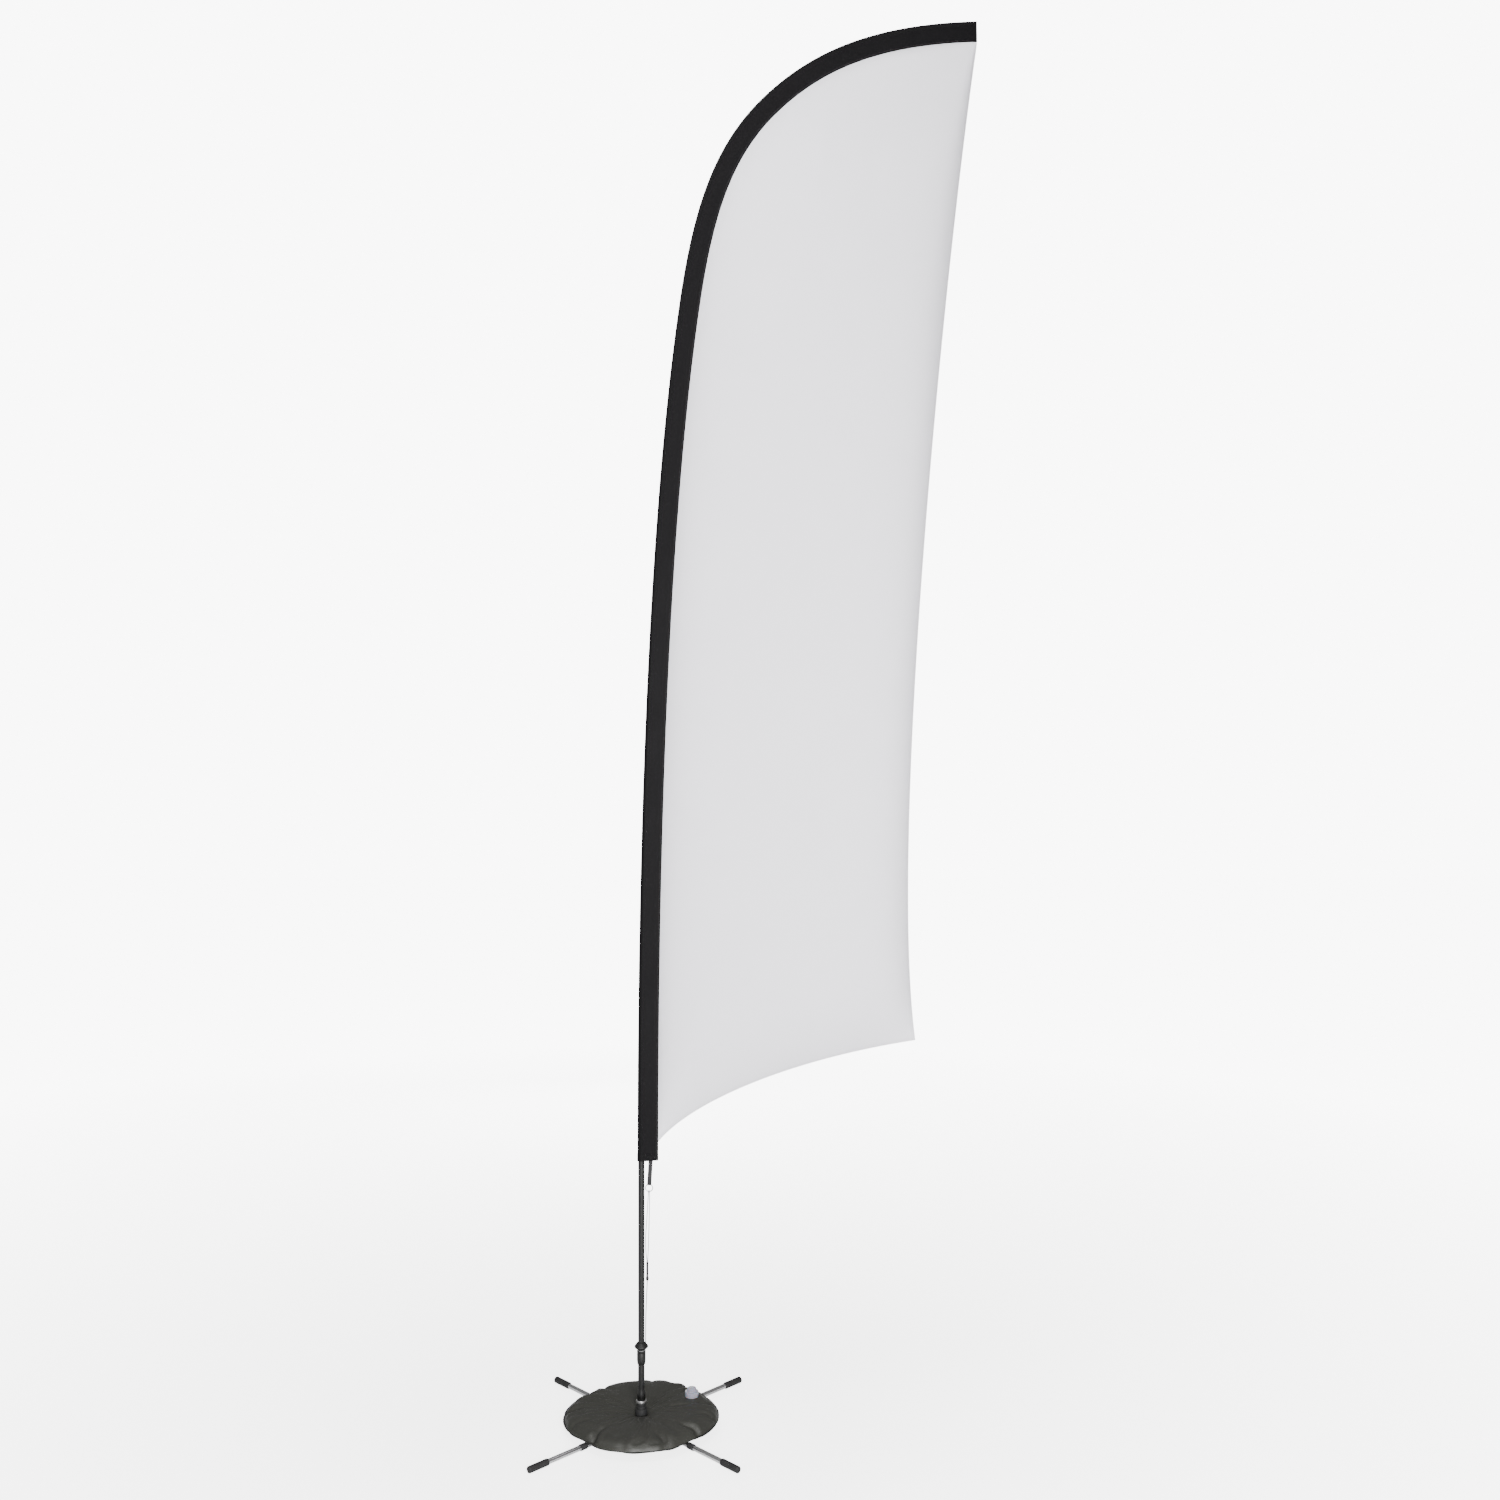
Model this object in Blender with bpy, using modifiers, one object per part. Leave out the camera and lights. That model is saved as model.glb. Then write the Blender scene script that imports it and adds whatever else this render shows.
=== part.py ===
"""Feather flag with pole: a curved pole carries a flag on a turning spindle, over a folding
cross base that a water bag weighs down.

Metres, +Z up. The pole stands on the Z axis, the flag spreads towards +X in the XZ plane, and
the ground is z = 0. Each sub-part is one named object, and each moving group hangs on an empty
that stands on its joint's axis.
"""
import math

import bmesh
import bpy
from mathutils import Matrix, Vector

# ---------------------------------------------------------------- clearances
GAP = 0.0003                    # between faces that touch on the real object
MERGE = 0.00005                 # distance under which turned points on the axis are joined
CHAMFER = 0.001                 # on the rims of the turned pieces

# ---------------------------------------------------------------- legs and hub
LEG_REACH = 0.441               # pole axis to the end of a foot cap
LEG_TUBE_RADIUS = 0.008
LEG_TUBE_WALL = 0.0012
LEG_TUBE_START = 0.065          # pole axis to the inner end of a leg tube
FOOT_RADIUS = 0.0105
FOOT_LENGTH = 0.072
FOOT_END_WALL = 0.0042
FOOT_CHAMFER = 0.0015
BAND_RADIUS = 0.0098
BAND_CENTRE = 0.234             # pole axis to the middle of a strap band
BAND_LENGTH = 0.024
PLUG_LENGTH = 0.060             # crossbar plug, of which a third lies outside the tube
BAR_WIDTH = 0.025
BAR_THICKNESS = 0.005
BAR_END_INSET = 0.005           # from the bar's end to the leg tube
FOLD_WASHER_RADIUS = 0.016
FOLD_WASHER_THICKNESS = 0.001
HUB_DISC_RADIUS = 0.022
HUB_DISC_THICKNESS = 0.003
HUB_BOLT_RADIUS = 0.006
HUB_BOLT_TOP = 0.150

# ---------------------------------------------------------------- stem and its stack
BUSH_RADIUS = 0.0145
BUSH_TOP = 0.0717
CLAMP_WASHER_RADIUS = 0.0165
CLAMP_WASHER_THICKNESS = 0.009
STEM_FOOT_RADIUS = 0.0132
STEM_RADIUS = 0.0103
STEM_TOP = 0.194
STEM_TAPER_BOTTOM = 0.095
STEM_TAPER_TOP = 0.120
STEM_TAPER_RADIUS = 0.0105      # at the taper's top; the stem thins on from there
STEM_BOSS_RADIUS = 0.0068
STEM_BOSS_HEIGHT = 0.0022
PIN_RADIUS = 0.0055
PIN_TOP = 0.2325

# ---------------------------------------------------------------- turning spindle
RACE_HEIGHT = 0.007
INNER_RACE_WALL = 0.001
BALL_RADIUS = 0.0011
BALL_COUNT = 8
CAGE_HALF_WIDTH = 0.0005
CAGE_HALF_HEIGHT = 0.0004
OUTER_RACE_WALL = 0.0016
SPACER_HEIGHT = 0.0127
NUT_RADIUS = 0.0085
NUT_HEIGHT = 0.0069
HOUSING_RADIUS = 0.0140
HOUSING_FOOT_RADIUS = 0.0123
HOUSING_TAPER = 0.010           # height of the cone at its lower end
SPIGOT_LEAD = 0.003             # height of the lead-in cone on the spigot's top
HOUSING_BOTTOM = 0.1945
HOUSING_TOP = 0.2380
CIRCLIP_HEIGHT = 0.0014
SPIGOT_LENGTH = 0.162
SPIGOT_BORE_RADIUS = 0.0050
REST_WASHER_RADIUS = 0.0125
REST_WASHER_THICKNESS = 0.001

# ---------------------------------------------------------------- pole
POLE_RADIUS = 0.010
POLE_RING_MARGIN = 0.004                  # no ring of points stands nearer to a section's end
POLE_TIP_RADIUS = 0.004
POLE_WALL = 0.0018
POLE_SPIGOT_WALL = 0.0012
POLE_SPIGOT_LENGTH = 0.060
POLE_JOINTS = (1.22, 2.42, 3.58)          # lengths along the pole where its sections meet
POLE_TAPER_START = 1.22
TIP_CAP_LENGTH = 0.030
TIP_CAP_WALL = 0.0012
COLLAR_HEIGHT = 0.0235
COLLAR_NECK_RADIUS = POLE_RADIUS + 0.0025
COLLAR_FOOT_RADIUS = POLE_RADIUS + 0.0035
# distance out from the pole and drop from the collar's top: neck, pointed rim above and below, waist
COLLAR_FLARE = ((0.0055, 0.0030), (0.0116, 0.0110), (0.0116, 0.0150), (0.0045, 0.0205))

# ---------------------------------------------------------------- flag, as (x, z) in its plane
# Outer edge of the pole sleeve: three Bezier spans, hem to tip, with x from the edge's straight stretch.
SLEEVE_EDGE = (
    ((0.0000, 0.8405), (0.0000, 1.5700), (0.0182, 2.7400), (0.1277, 3.5252)),
    ((0.1277, 3.5252), (0.1709, 3.8350), (0.2297, 4.0566), (0.4053, 4.2203)),
    ((0.4053, 4.2203), (0.5321, 4.3386), (0.7147, 4.4469), (1.0761, 4.4553)),
)
SLEEVE_STEPS = (12, 11, 11)               # stations in each span
SLEEVE_WIDTH = 0.064
SLEEVE_WALL = 0.0010
SLEEVE_EASE = 0.0008                      # between the pole and the sleeve's inside
SLEEVE_SEAM = 0.0012                      # half the thickness of the sleeve's seam
SLEEVE_SLIT = 0.0003                      # half the gap where its two walls meet
SLEEVE_SEAM_WIDTH = 0.006
SLEEVE_ARC = math.radians(70)             # from the seam's side to where the arc begins
SLEEVE_ARC_STEPS = 10
SLEEVE_END_WALL = 0.006
PANEL_THICKNESS = 0.0012
PANEL_HEM_START = 0.9019                  # height at which the panel's lower edge meets the sleeve
PANEL_FREE_EDGE = ((0.9770, 3.7890), (0.7800, 1.9020), (0.8690, 1.2226))   # after the tip
PANEL_LOWER_EDGE = ((0.8690, 1.2226), (0.5300, 1.1720), (0.1700, 1.0450))
PANEL_EDGE_STEPS = 24
PANEL_LOWER_STEPS = 14

# ---------------------------------------------------------------- strap, ring and tension cord
RING_CENTRE = Vector((POLE_RADIUS + 0.0145, 0.0, 0.7526))
RING_RADIUS = 0.0115
RING_WIRE = 0.0015
STRAP_WIDTH = 0.0136
STRAP_THICKNESS = 0.0036
STRAP_LAYER = 0.0012
STRAP_SPLIT = 0.012                       # height over which its two layers close above the ring
STRAP_REACH = 0.108                       # from the ring's centre to the strap's upper end
STRAP_LEAN = math.radians(3.4)
CORD_RADIUS = 0.0013
CRIMP_RADIUS = 0.0034
CRIMP_KNOT_RADIUS = 0.0048
CRIMP_TOP = Vector((POLE_RADIUS + 0.0090, 0.0, 0.5176))
CRIMP_LENGTH = 0.0590
CORD_EYE_RADIUS = POLE_RADIUS + 0.0038    # pole axis to the cord's hole in the collar
CORD_EYE_DEPTH = 0.0100
CRIMP_KNOT = (0.0130, 0.0090, 0.0040)     # above the crimp's lower end: slope, full knot, slope
# x from the pole's side
CORD_FRONT_ROUTE = (
    (0.0162, 0.0000, 0.7391), (0.0158, -0.0004, 0.7000), (0.0146, -0.0010, 0.6400),
    (0.0126, -0.0015, 0.5700), (0.0108, -0.0017, 0.5300), (0.0106, -0.0017, 0.5179),
)
CORD_REAR_ROUTE = (
    (0.0126, 0.0000, 0.7392), (0.0105, 0.0012, 0.7050), (0.0070, 0.0042, 0.6500),
    (0.0035, 0.0082, 0.6030), (0.0030, 0.0090, 0.5700), (0.0050, 0.0058, 0.5380),
    (0.0078, 0.0024, 0.5230), (0.0082, 0.0017, 0.5179),
)
CORD_LOWER_ROUTE = (
    (0.0090, 0.0000, 0.4583), (0.0072, 0.0000, 0.4200), (0.0046, 0.0000, 0.3550),
    (0.0038, 0.0000, 0.3000), (0.0038, 0.0000, 0.2700), (0.0038, 0.0000, 0.2534),
)
CORD_STEP = 0.010

# ---------------------------------------------------------------- water bag and its filler
BAG_HOLE_RADIUS = 0.0200
BAG_CROWN = 0.0580
BAG_FLAT_RADIUS = 0.1950                  # the underside is flat as far out as this
# radius and drop from the crown, from the hole outwards
BAG_TOP = (
    (BAG_HOLE_RADIUS, 0.0060), (0.0400, 0.0020), (0.0900, 0.0000), (0.1400, 0.0010),
    (0.1850, 0.0045), (0.2150, 0.0110), (0.2340, 0.0190),
)
# radius and height round the welded rim and back under it
BAG_RIM = (
    (0.2405, 0.0325), (0.2475, 0.0312), (0.2475, 0.0288), (0.2405, 0.0275),
    (0.2310, 0.0240), (0.2150, 0.0210),
)
VALVE_PLACE = Vector((0.157, 0.075, 0.0))
VALVE_FLANGE_RADIUS = 0.0215
VALVE_FLANGE_THICKNESS = 0.003
VALVE_SEAT_HEIGHT = 0.0590
NECK_RADIUS = 0.0130
NECK_BORE_RADIUS = 0.0100
NECK_HEIGHT = 0.0090
SEAL_THICKNESS = 0.0012
CAP_RADIUS = 0.0218
CAP_BORE_RADIUS = NECK_RADIUS + 0.0025
CAP_TOP_WALL = 0.0024
CAP_KNOB_RADIUS = 0.0145
CAP_KNOB_HEIGHT = 0.0108

# ---------------------------------------------------------------- sizes worked out from those above
LEG_HEIGHT = FOOT_RADIUS
PLUG_RADIUS = LEG_TUBE_RADIUS - LEG_TUBE_WALL - GAP
LOWER_BAR_BOTTOM = HUB_DISC_THICKNESS + GAP
FOLD_WASHER_BOTTOM = LOWER_BAR_BOTTOM + BAR_THICKNESS + GAP
UPPER_BAR_BOTTOM = FOLD_WASHER_BOTTOM + FOLD_WASHER_THICKNESS + GAP
BUSH_BOTTOM = UPPER_BAR_BOTTOM + BAR_THICKNESS + GAP
CLAMP_WASHER_BOTTOM = BUSH_TOP + GAP
STEM_BOTTOM = CLAMP_WASHER_BOTTOM + CLAMP_WASHER_THICKNESS + GAP
HUB_BORE_RADIUS = HUB_BOLT_RADIUS + GAP
BAG_BOTTOM = LEG_HEIGHT + LEG_TUBE_RADIUS + GAP

INNER_RACE_BORE = PIN_RADIUS + GAP
INNER_RACE_RADIUS = INNER_RACE_BORE + INNER_RACE_WALL
BALL_CIRCLE = INNER_RACE_RADIUS + GAP + BALL_RADIUS
OUTER_RACE_BORE = BALL_CIRCLE + BALL_RADIUS + GAP
OUTER_RACE_RADIUS = OUTER_RACE_BORE + OUTER_RACE_WALL
HOUSING_BORE = OUTER_RACE_RADIUS + GAP
HOUSING_SHOULDER_BORE = OUTER_RACE_BORE + GAP
LOWER_RACE_BOTTOM = STEM_TOP + STEM_BOSS_HEIGHT + GAP
SPACER_BOTTOM = LOWER_RACE_BOTTOM + RACE_HEIGHT + GAP
UPPER_RACE_BOTTOM = SPACER_BOTTOM + SPACER_HEIGHT + GAP
NUT_BOTTOM = UPPER_RACE_BOTTOM + RACE_HEIGHT + GAP
HOUSING_CEILING = PIN_TOP + 0.001
CIRCLIP_BOTTOM = LOWER_RACE_BOTTOM - GAP - CIRCLIP_HEIGHT
EDGE_SHIFT = Vector((-(POLE_RADIUS + SLEEVE_EASE + SLEEVE_WALL), 0.0))     # puts the pole on the Z axis
SPIGOT_RADIUS = POLE_RADIUS - POLE_WALL - GAP
REST_WASHER_BOTTOM = HOUSING_TOP + GAP
POLE_BOTTOM = REST_WASHER_BOTTOM + REST_WASHER_THICKNESS + GAP
CORD_EYE_BOTTOM = POLE_BOTTOM + COLLAR_HEIGHT - CORD_EYE_DEPTH

VALVE_BOTTOM = VALVE_SEAT_HEIGHT + GAP
NECK_BOTTOM = VALVE_BOTTOM + VALVE_FLANGE_THICKNESS
NECK_TOP = NECK_BOTTOM + NECK_HEIGHT
SEAL_BOTTOM = NECK_TOP + GAP
CAP_BOTTOM = NECK_BOTTOM + GAP
CAP_CEILING = SEAL_BOTTOM + SEAL_THICKNESS + GAP
CAP_SHOULDER = CAP_CEILING + CAP_TOP_WALL

# leg name -> (azimuth in degrees, whether it swings)
LEGS = {
    "front_left": (225, False),
    "rear_right": (45, False),
    "front_right": (315, True),
    "rear_left": (135, True),
}


# ================================================================ scene, materials, small helpers
def clear_scene():
    for item in list(bpy.data.objects):
        bpy.data.objects.remove(item, do_unlink=True)


def new_collection(name):
    collection = bpy.data.collections.new(name)
    bpy.context.scene.collection.children.link(collection)
    return collection


def material(name, colour, roughness, metallic=0.0):
    """A Principled material; colour is linear red, green and blue."""
    made = bpy.data.materials.new(name)
    made.use_nodes = True
    shader = made.node_tree.nodes["Principled BSDF"]
    shader.inputs["Base Color"].default_value = (*colour, 1.0)
    shader.inputs["Roughness"].default_value = roughness
    shader.inputs["Metallic"].default_value = metallic
    made.diffuse_color = (*colour, 1.0)
    return made


def empty(name, location, parent=None):
    made = bpy.data.objects.new(name, None)
    made.empty_display_size = 0.05
    PARTS.objects.link(made)
    made.parent = parent
    made.location = location
    return made


def add_object(name, data, finish, parent=None, collection=None):
    made = bpy.data.objects.new(name, data)
    (collection or PARTS).objects.link(made)
    if finish is not None:
        data.materials.append(finish)
    made.parent = parent
    if parent is not None:
        bpy.context.view_layer.update()
        made.matrix_parent_inverse = parent.matrix_world.inverted()
    return made


def smooth(mesh):
    mesh.shade_smooth()
    mesh.set_sharp_from_angle(angle=math.radians(35))


def bake_modifiers(item):
    """Replace an object's mesh by its evaluated one, and drop its modifiers."""
    bpy.context.view_layer.update()
    graph = bpy.context.evaluated_depsgraph_get()
    mesh = bpy.data.meshes.new_from_object(item.evaluated_get(graph))
    item.modifiers.clear()
    item.data = mesh
    smooth(mesh)
    return item


def boolean(item, cutter, operation):
    modifier = item.modifiers.new(operation.title(), "BOOLEAN")
    modifier.operation = operation
    modifier.solver = "EXACT"
    modifier.object = cutter


def hide_cutter(item):
    item.hide_render = True
    item.display_type = "WIRE"
    return item


# ================================================================ shape helpers
def turned(name, profile, finish, parent=None, steps=24, collection=None):
    """Turn a profile of (radius, height) points, outer side first, top to bottom, about Z.

    A profile that starts on the axis ends on it; any other is a ring and is closed.
    """
    mesh = bpy.data.meshes.new(name)
    shape = bmesh.new()
    points = [shape.verts.new((radius, 0.0, height)) for radius, height in profile]
    for first, second in zip(points, points[1:]):
        shape.edges.new((first, second))
    if profile[0][0] > 0.0:
        shape.edges.new((points[-1], points[0]))
    shape.to_mesh(mesh)
    shape.free()
    made = add_object(name, mesh, finish, parent, collection)
    screw = made.modifiers.new("Turn", "SCREW")
    screw.steps = steps
    screw.render_steps = steps
    screw.use_merge_vertices = True
    screw.merge_threshold = MERGE
    screw.use_normal_calculate = False
    screw.use_smooth_shade = True
    return made


def ring(name, inner, outer, bottom, top, finish, parent=None, steps=24):
    profile = [(outer, top), (outer, bottom), (inner, bottom), (inner, top)]
    return turned(name, profile, finish, parent, steps)


def lay_along(item, azimuth, height):
    """Turn a Z-axis part to lie along a leg's direction at a height above the ground."""
    turn = Matrix.Rotation(math.radians(azimuth), 4, "Z") @ Matrix.Rotation(math.pi / 2, 4, "Y")
    item.matrix_world = Matrix.Translation((0.0, 0.0, height)) @ turn
    return item


def cylinder_mesh(name, radius, start, end, sides=24):
    """A capped cylinder on the Z axis between two heights."""
    mesh = bpy.data.meshes.new(name)
    shape = bmesh.new()
    bmesh.ops.create_cone(
        shape, cap_ends=True, segments=sides, radius1=radius, radius2=radius, depth=end - start,
        matrix=Matrix.Translation((0.0, 0.0, (start + end) / 2)),
    )
    shape.to_mesh(mesh)
    shape.free()
    return mesh


def box_mesh(name, size, centre):
    mesh = bpy.data.meshes.new(name)
    shape = bmesh.new()
    place = Matrix.Translation(centre) @ Matrix.Diagonal((*size, 1.0))
    bmesh.ops.create_cube(shape, size=1.0, matrix=place)
    shape.to_mesh(mesh)
    shape.free()
    return mesh


def loft(name, rings, finish, parent=None, closed=False):
    """Skin rings that have the same number of points; cap the ends, or join last to first."""
    mesh = bpy.data.meshes.new(name)
    shape = bmesh.new()
    rows = [[shape.verts.new(point) for point in row] for row in rings]
    pairs = list(zip(rows, rows[1:]))
    if closed:
        pairs.append((rows[-1], rows[0]))
    count = len(rows[0])
    for lower, upper in pairs:
        for side in range(count):
            after = (side + 1) % count
            shape.faces.new((lower[side], lower[after], upper[after], upper[side]))
    if not closed:
        shape.faces.new(list(reversed(rows[0])))
        shape.faces.new(rows[-1])
    bmesh.ops.recalc_face_normals(shape, faces=shape.faces)
    shape.to_mesh(mesh)
    shape.free()
    smooth(mesh)
    return add_object(name, mesh, finish, parent)


def smooth_route(points, step):
    """Points a step apart on a smooth curve (Catmull-Rom) through hand-placed points."""
    knots = [Vector(point) for point in points]
    knots = [knots[0] * 2 - knots[1]] + knots + [knots[-1] * 2 - knots[-2]]
    route = []
    for index in range(1, len(knots) - 2):
        before, start, end, after = knots[index - 1:index + 3]
        parts = max(1, round((end - start).length / step))
        for part in range(parts):
            t = part / parts
            route.append(0.5 * (
                2 * start + (end - before) * t
                + (2 * before - 5 * start + 4 * end - after) * t ** 2
                + (3 * start - before - 3 * end + after) * t ** 3
            ))
    route.append(knots[-2])
    return route


def cord(name, points, radius, finish, parent=None):
    curve = bpy.data.curves.new(name, "CURVE")
    curve.dimensions = "3D"
    curve.bevel_depth = radius
    curve.bevel_resolution = 2
    curve.use_fill_caps = True
    route = smooth_route(points, CORD_STEP)
    spline = curve.splines.new("POLY")
    spline.points.add(len(route) - 1)
    for point, place in zip(spline.points, route):
        point.co = (place.x + POLE_RADIUS, place.y, place.z, 1.0)
    return add_object(name, curve, finish, parent)


def flat_outline(name, outlines, thickness, finish, parent=None):
    """A flat plate from closed outlines of (x, y) points; an inner outline is a hole."""
    curve = bpy.data.curves.new(name, "CURVE")
    curve.dimensions = "2D"
    curve.fill_mode = "BOTH"
    curve.extrude = thickness / 2
    for outline in outlines:
        spline = curve.splines.new("POLY")
        spline.points.add(len(outline) - 1)
        for point, (x, y) in zip(spline.points, outline):
            point.co = (x, y, 0.0, 1.0)
        spline.use_cyclic_u = True
    return add_object(name, curve, finish, parent)


def bezier(points, t):
    a, b, c, d = [Vector(point) for point in points]
    s = 1.0 - t
    return a * s ** 3 + b * 3 * s * s * t + c * 3 * s * t * t + d * t ** 3


def bezier_slope(points, t):
    a, b, c, d = [Vector(point) for point in points]
    s = 1.0 - t
    return ((b - a) * 3 * s * s + (c - b) * 6 * s * t + (d - c) * 3 * t * t).normalized()


# ================================================================ the pole's and the sleeve's lines
def sleeve_stations():
    """(edge point, direction to the panel) from the hem to the tip, both in the flag's plane."""
    stations = []
    for span, steps in zip(SLEEVE_EDGE, SLEEVE_STEPS):
        for index in range(steps):
            t = index / steps
            slope = bezier_slope(span, t)
            stations.append((bezier(span, t) + EDGE_SHIFT, Vector((slope.y, -slope.x))))
    slope = bezier_slope(SLEEVE_EDGE[-1], 1.0)
    stations.append((bezier(SLEEVE_EDGE[-1], 1.0) + EDGE_SHIFT, Vector((slope.y, -slope.x))))
    return stations


def in_flag_plane(point, y=0.0):
    return Vector((point.x, y, point.y))


def pole_length():
    """Rough length of the pole, for its taper: foot to hem, then along the sleeve's edge."""
    stations = sleeve_stations()
    along = sum((b[0] - a[0]).length for a, b in zip(stations, stations[1:]))
    return stations[0][0].y - POLE_BOTTOM + along


def pole_radius_at(length):
    share = (length - POLE_TAPER_START) / (pole_length() - POLE_TAPER_START)
    share = min(max(share, 0.0), 1.0)
    return POLE_RADIUS + (POLE_TIP_RADIUS - POLE_RADIUS) * share


def pole_line():
    """(length, centre, direction to the panel, radius) at each station from foot to tip."""
    stations = sleeve_stations()
    straight = stations[0][0].y - POLE_BOTTOM
    line = [(0.0, Vector((0.0, POLE_BOTTOM)), Vector((1.0, 0.0)), POLE_RADIUS)]
    length = straight
    for index, (edge, inward) in enumerate(stations):
        if index:
            length += (edge - stations[index - 1][0]).length
        radius = pole_radius_at(length)
        centre = edge + inward * (radius + SLEEVE_EASE + SLEEVE_WALL)
        line.append((length, centre, inward, radius))
    return line


def pole_at(line, length):
    """Centre, direction and radius at a length, on the straight run between two stations."""
    for low, high in zip(line, line[1:]):
        if length <= high[0]:
            share = (length - low[0]) / (high[0] - low[0])
            inward = low[2].lerp(high[2], share).normalized()
            return low[1].lerp(high[1], share), inward, low[3] + (high[3] - low[3]) * share
    return line[-1][1:]


def round_ring(centre, inward, radius, sides=12):
    """Ring of points about the pole's line."""
    row = []
    for side in range(sides):
        angle = 2 * math.pi * side / sides
        place = centre + inward * (radius * math.cos(angle))
        row.append(in_flag_plane(place, radius * math.sin(angle)))
    return row


def pole_section(name, line, start, end, has_spigot, finish, parent):
    """A tapered tube from start to end, with a spigot below it that enters the section under it."""
    between = [entry[0] for entry in line if start + POLE_RING_MARGIN < entry[0] < end - POLE_RING_MARGIN]
    lengths = [start] + between + [end]
    outer = []
    inner = []
    if has_spigot:
        spigot_radius = pole_at(line, start)[2] - POLE_WALL - GAP
        low = [entry[0] for entry in line if start - POLE_SPIGOT_LENGTH < entry[0] < start - POLE_RING_MARGIN]
        for length in [start - POLE_SPIGOT_LENGTH] + low + [start]:
            centre, inward, _ = pole_at(line, length)
            outer.append(round_ring(centre, inward, spigot_radius))
            inner.append(round_ring(centre, inward, spigot_radius - POLE_SPIGOT_WALL))
    for length in lengths:
        centre, inward, radius = pole_at(line, length)
        outer.append(round_ring(centre, inward, radius))
        if length > start or not has_spigot:
            inner.append(round_ring(centre, inward, radius - POLE_WALL))
    return loft(name, outer + inner[::-1], finish, parent, closed=True)


def sleeve_ring(edge, inward, radius, wall, seam, half_seam):
    """One closed section of the sleeve's outside or inside: an arc round the pole and a seam."""
    centre = radius + SLEEVE_EASE + SLEEVE_WALL
    arc_radius = radius + SLEEVE_EASE + wall
    flat = [(seam, half_seam)]
    for index in range(SLEEVE_ARC_STEPS + 1):
        angle = SLEEVE_ARC + (2 * math.pi - 2 * SLEEVE_ARC) * index / SLEEVE_ARC_STEPS
        flat.append((centre + arc_radius * math.cos(angle), arc_radius * math.sin(angle)))
    flat.append((seam, -half_seam))
    return [in_flag_plane(edge + inward * along, y) for along, y in flat]


# ================================================================ sub-parts: base
def make_hub():
    turned("hub_bolt", [
        (0.0, HUB_BOLT_TOP), (HUB_BOLT_RADIUS, HUB_BOLT_TOP), (HUB_BOLT_RADIUS, HUB_DISC_THICKNESS),
        (HUB_DISC_RADIUS, HUB_DISC_THICKNESS), (HUB_DISC_RADIUS, 0.0), (0.0, 0.0),
    ], STEEL, BASE)
    ring("fold_washer", HUB_BORE_RADIUS, FOLD_WASHER_RADIUS, FOLD_WASHER_BOTTOM,
         FOLD_WASHER_BOTTOM + FOLD_WASHER_THICKNESS, NYLON, BASE)
    ring("spacer_bush", HUB_BORE_RADIUS, BUSH_RADIUS, BUSH_BOTTOM, BUSH_TOP, RUBBER, BASE)
    ring("clamp_washer", HUB_BORE_RADIUS, CLAMP_WASHER_RADIUS, CLAMP_WASHER_BOTTOM,
         CLAMP_WASHER_BOTTOM + CLAMP_WASHER_THICKNESS, STEEL, BASE, steps=32)


def make_crossbar(name, azimuth, bottom, parent):
    """A flat bar with a round plug at each end and a hole for the hub bolt."""
    bar_length = 2 * (LEG_TUBE_START - BAR_END_INSET)
    centre = (0.0, 0.0, bottom + BAR_THICKNESS / 2)
    bar = add_object(name, box_mesh(name, (bar_length, BAR_WIDTH, BAR_THICKNESS), centre), BLACK_METAL)
    plug_start = LEG_TUBE_START - PLUG_LENGTH / 3
    for side in (0, 180):
        mesh = cylinder_mesh("plug", PLUG_RADIUS, plug_start, plug_start + PLUG_LENGTH, 16)
        plug = hide_cutter(add_object(f"{name}_plug_{side}", mesh, None, None, CUTTERS))
        lay_along(plug, side, LEG_HEIGHT)
        boolean(bar, plug, "UNION")
    mesh = cylinder_mesh("hole", HUB_BORE_RADIUS, bottom - BAR_THICKNESS, bottom + 2 * BAR_THICKNESS, 24)
    boolean(bar, hide_cutter(add_object(f"{name}_hole", mesh, None, None, CUTTERS)), "DIFFERENCE")
    bake_modifiers(bar)
    bar.rotation_euler.z = math.radians(azimuth)
    bar.parent = parent
    bar.matrix_parent_inverse = parent.matrix_world.inverted()


def make_leg(name, azimuth, parent):
    """Leg tube, rubber foot cap and the bag's strap band round the tube."""
    tube_end = LEG_REACH - FOOT_END_WALL - GAP
    tube = ring(f"leg_{name}", LEG_TUBE_RADIUS - LEG_TUBE_WALL, LEG_TUBE_RADIUS,
                LEG_TUBE_START, tube_end, CHROME, parent, steps=20)
    lay_along(tube, azimuth, LEG_HEIGHT)
    bore = LEG_TUBE_RADIUS + GAP
    foot_start = LEG_REACH - FOOT_LENGTH
    foot = turned(f"foot_{name}", [
        (0.0, LEG_REACH), (FOOT_RADIUS - FOOT_CHAMFER, LEG_REACH), (FOOT_RADIUS, LEG_REACH - FOOT_CHAMFER),
        (FOOT_RADIUS, foot_start), (bore, foot_start), (bore, LEG_REACH - FOOT_END_WALL),
        (0.0, LEG_REACH - FOOT_END_WALL),
    ], RUBBER, parent, steps=20)
    lay_along(foot, azimuth, LEG_HEIGHT)
    band = ring(f"strap_band_{name}", bore, BAND_RADIUS, BAND_CENTRE - BAND_LENGTH / 2,
                BAND_CENTRE + BAND_LENGTH / 2, WEBBING, parent, steps=20)
    lay_along(band, azimuth, LEG_HEIGHT)


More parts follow.
